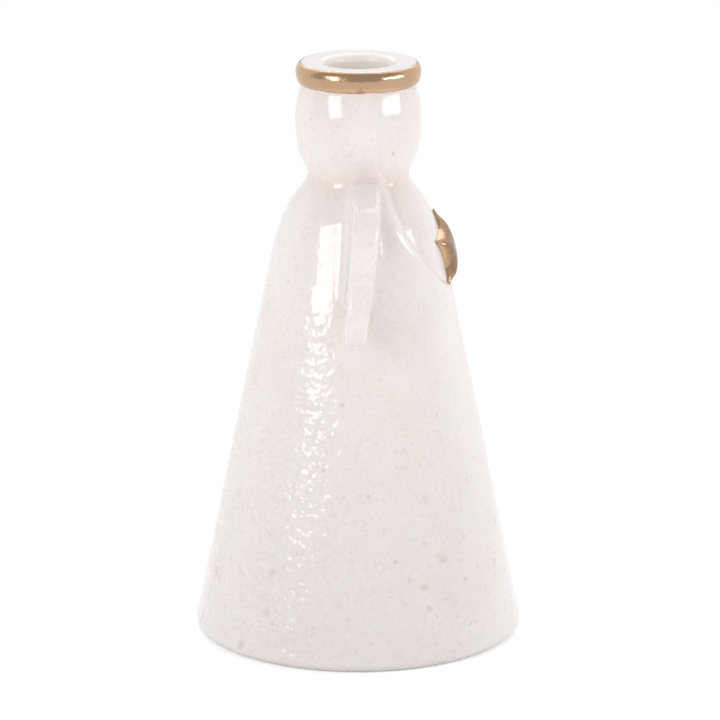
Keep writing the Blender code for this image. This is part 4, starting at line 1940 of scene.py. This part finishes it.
@dataclass(frozen=True)
class Studio:
    """A white floor that runs out of sight, a pale room and the softboxes."""

    camera: Camera = Camera()
    lamps: tuple[SoftBox, ...] = (
        SoftBox(
            "left_softbox", Side.LEFT, turn=46.0, rise=21.5, roll=17.0,
            width=0.27, height=0.39, radiance=4.2, distance=0.696,
        ),
        SoftBox(
            "right_softbox", Side.RIGHT, turn=66.0, rise=20.8, roll=-4.0,
            width=0.313, height=0.130, radiance=5.0, distance=0.479,
        ),
        SoftBox(
            "back_softbox", Side.RIGHT, turn=180.0, rise=50.0,
            width=1.6, height=1.2, radiance=1.2, distance=1.3,
        ),
    )
    floor_radius: float = 1.6
    floor_sides: int = 96
    floor_colour: tuple[float, ...] = (0.93, 0.93, 0.94, 1.0)
    floor_roughness: float = 0.8
    lit_radius: float = 0.10
    blank_radius: float = 0.30
    dim_towards: tuple[float, float] = (-0.3, 0.1)
    dim_rise: tuple[float, float] = (-0.16, -0.05)
    room_level: float = 0.54
    ambient: float = 0.56
    floor_glow: float = 0.25

    def build(self) -> None:
        """Makes the floor, the world, the lamps and the camera."""
        self.camera.build()
        for lamp in self.lamps:
            lamp.build(self.camera)
        self._world()
        self._floor()
        bpy.context.scene.view_settings.view_transform = "Standard"

    def _seen(self, graph: Graph) -> Socket:
        """Tells which rays show the studio: straight from the camera, in gloss or through glass.

        Args:
            graph: The tree that asks.

        Returns:
            One for such rays and zero for the others.
        """
        path = graph.node("ShaderNodeLightPath").outputs
        seen = graph.math("MAXIMUM", path["Is Camera Ray"], path["Is Glossy Ray"])
        return graph.math("MAXIMUM", seen, path["Is Transmission Ray"])

    def _floor(self) -> bpy.types.Object:
        """The floor: white, and blank white to the eye away from the figure and its shadow.

        Returns:
            The floor.
        """
        form = bmesh.new()
        bmesh.ops.create_circle(form, cap_ends=True, segments=self.floor_sides, radius=self.floor_radius)
        mesh = finished_form(form, "floor")
        material, graph, shader = new_finish("white_floor")
        shader.inputs["Base Color"].default_value = self.floor_colour
        shader.inputs["Roughness"].default_value = self.floor_roughness
        shader.inputs["Specular IOR Level"].default_value = 0.0
        vector = graph.node("ShaderNodeTexCoord").outputs["Object"]
        away = graph.node("ShaderNodeVectorMath", {0: vector}, operation="LENGTH").outputs["Value"]
        far = graph.ramp(away, self.lit_radius, self.blank_radius)
        blank = graph.node("ShaderNodeEmission", {"Color": WHITE, "Strength": 1.0})
        seen = self._seen(graph)
        share = graph.times(far, seen)
        shader.inputs["Emission Color"].default_value = WHITE
        graph.feed(shader.inputs["Emission Strength"], graph.times(seen, self.floor_glow))
        mix = graph.node("ShaderNodeMixShader", {0: share, 1: shader.outputs[0], 2: blank.outputs[0]})
        graph.feed(material.node_tree.nodes["Material Output"].inputs["Surface"], mix.outputs[0])
        mesh.materials.append(material)
        return new_object("floor", mesh)

    def _world(self) -> None:
        """A pale room, white behind everything that the camera sees."""
        world = bpy.data.worlds.new("studio")
        world.use_nodes = True
        graph = Graph(world.node_tree)
        path = graph.node("ShaderNodeLightPath").outputs
        clear = graph.math("MAXIMUM", path["Is Camera Ray"], path["Is Transmission Ray"])
        vector = graph.node("ShaderNodeTexCoord").outputs["Generated"]
        rise = graph.node("ShaderNodeSeparateXYZ", {0: vector}).outputs["Z"]
        forward = {0: vector, 1: tuple(self.camera.direction())}
        towards = graph.node("ShaderNodeVectorMath", forward, operation="DOT_PRODUCT").outputs["Value"]
        dim = graph.times(graph.ramp(towards, *self.dim_towards), graph.ramp(rise, *self.dim_rise))
        room = graph.ramp(dim, 0.0, 1.0, 1.0, self.room_level)
        change = graph.math("SUBTRACT", room, self.ambient)
        level = graph.sum(graph.times(path["Is Glossy Ray"], change), self.ambient)
        level = graph.math("MAXIMUM", level, clear)
        background = world.node_tree.nodes["Background"]
        graph.feed(background.inputs["Strength"], level)
        background.inputs["Color"].default_value = WHITE
        bpy.context.scene.world = world


def report(piece: bpy.types.Object) -> None:
    """Logs a finished piece."""
    piece.data.calc_loop_triangles()
    LOG.info("%s: %d triangles", piece.name, len(piece.data.loop_triangles))


def main() -> None:
    """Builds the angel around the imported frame."""
    logging.basicConfig(level=logging.INFO, format="%(message)s")
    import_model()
    specks = Specks()
    ripples = Ripples(specks)
    mottle = Mottle()
    glaze = IvoryGlaze().build(specks, Flecks(), ripples, mottle)
    gold = GoldLustre().build(specks, ripples, mottle)
    body = TurnedBody()
    figure = GlazedFigure(body, Wings(body), Arms(body)).build(Turning(), glaze)
    halo = HaloGilding(body).build(Gilding(), gold)
    star = GiltStar(body).build(gold)
    for piece, slot in ((figure, "ivory_glaze"), (halo, "gold_lustre"), (star, "gold_lustre")):
        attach(piece, "root")
        report(piece)
    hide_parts("angel_body")
    Studio().build()
    bpy.context.view_layer.update()


if __name__ == "__main__":
    main()
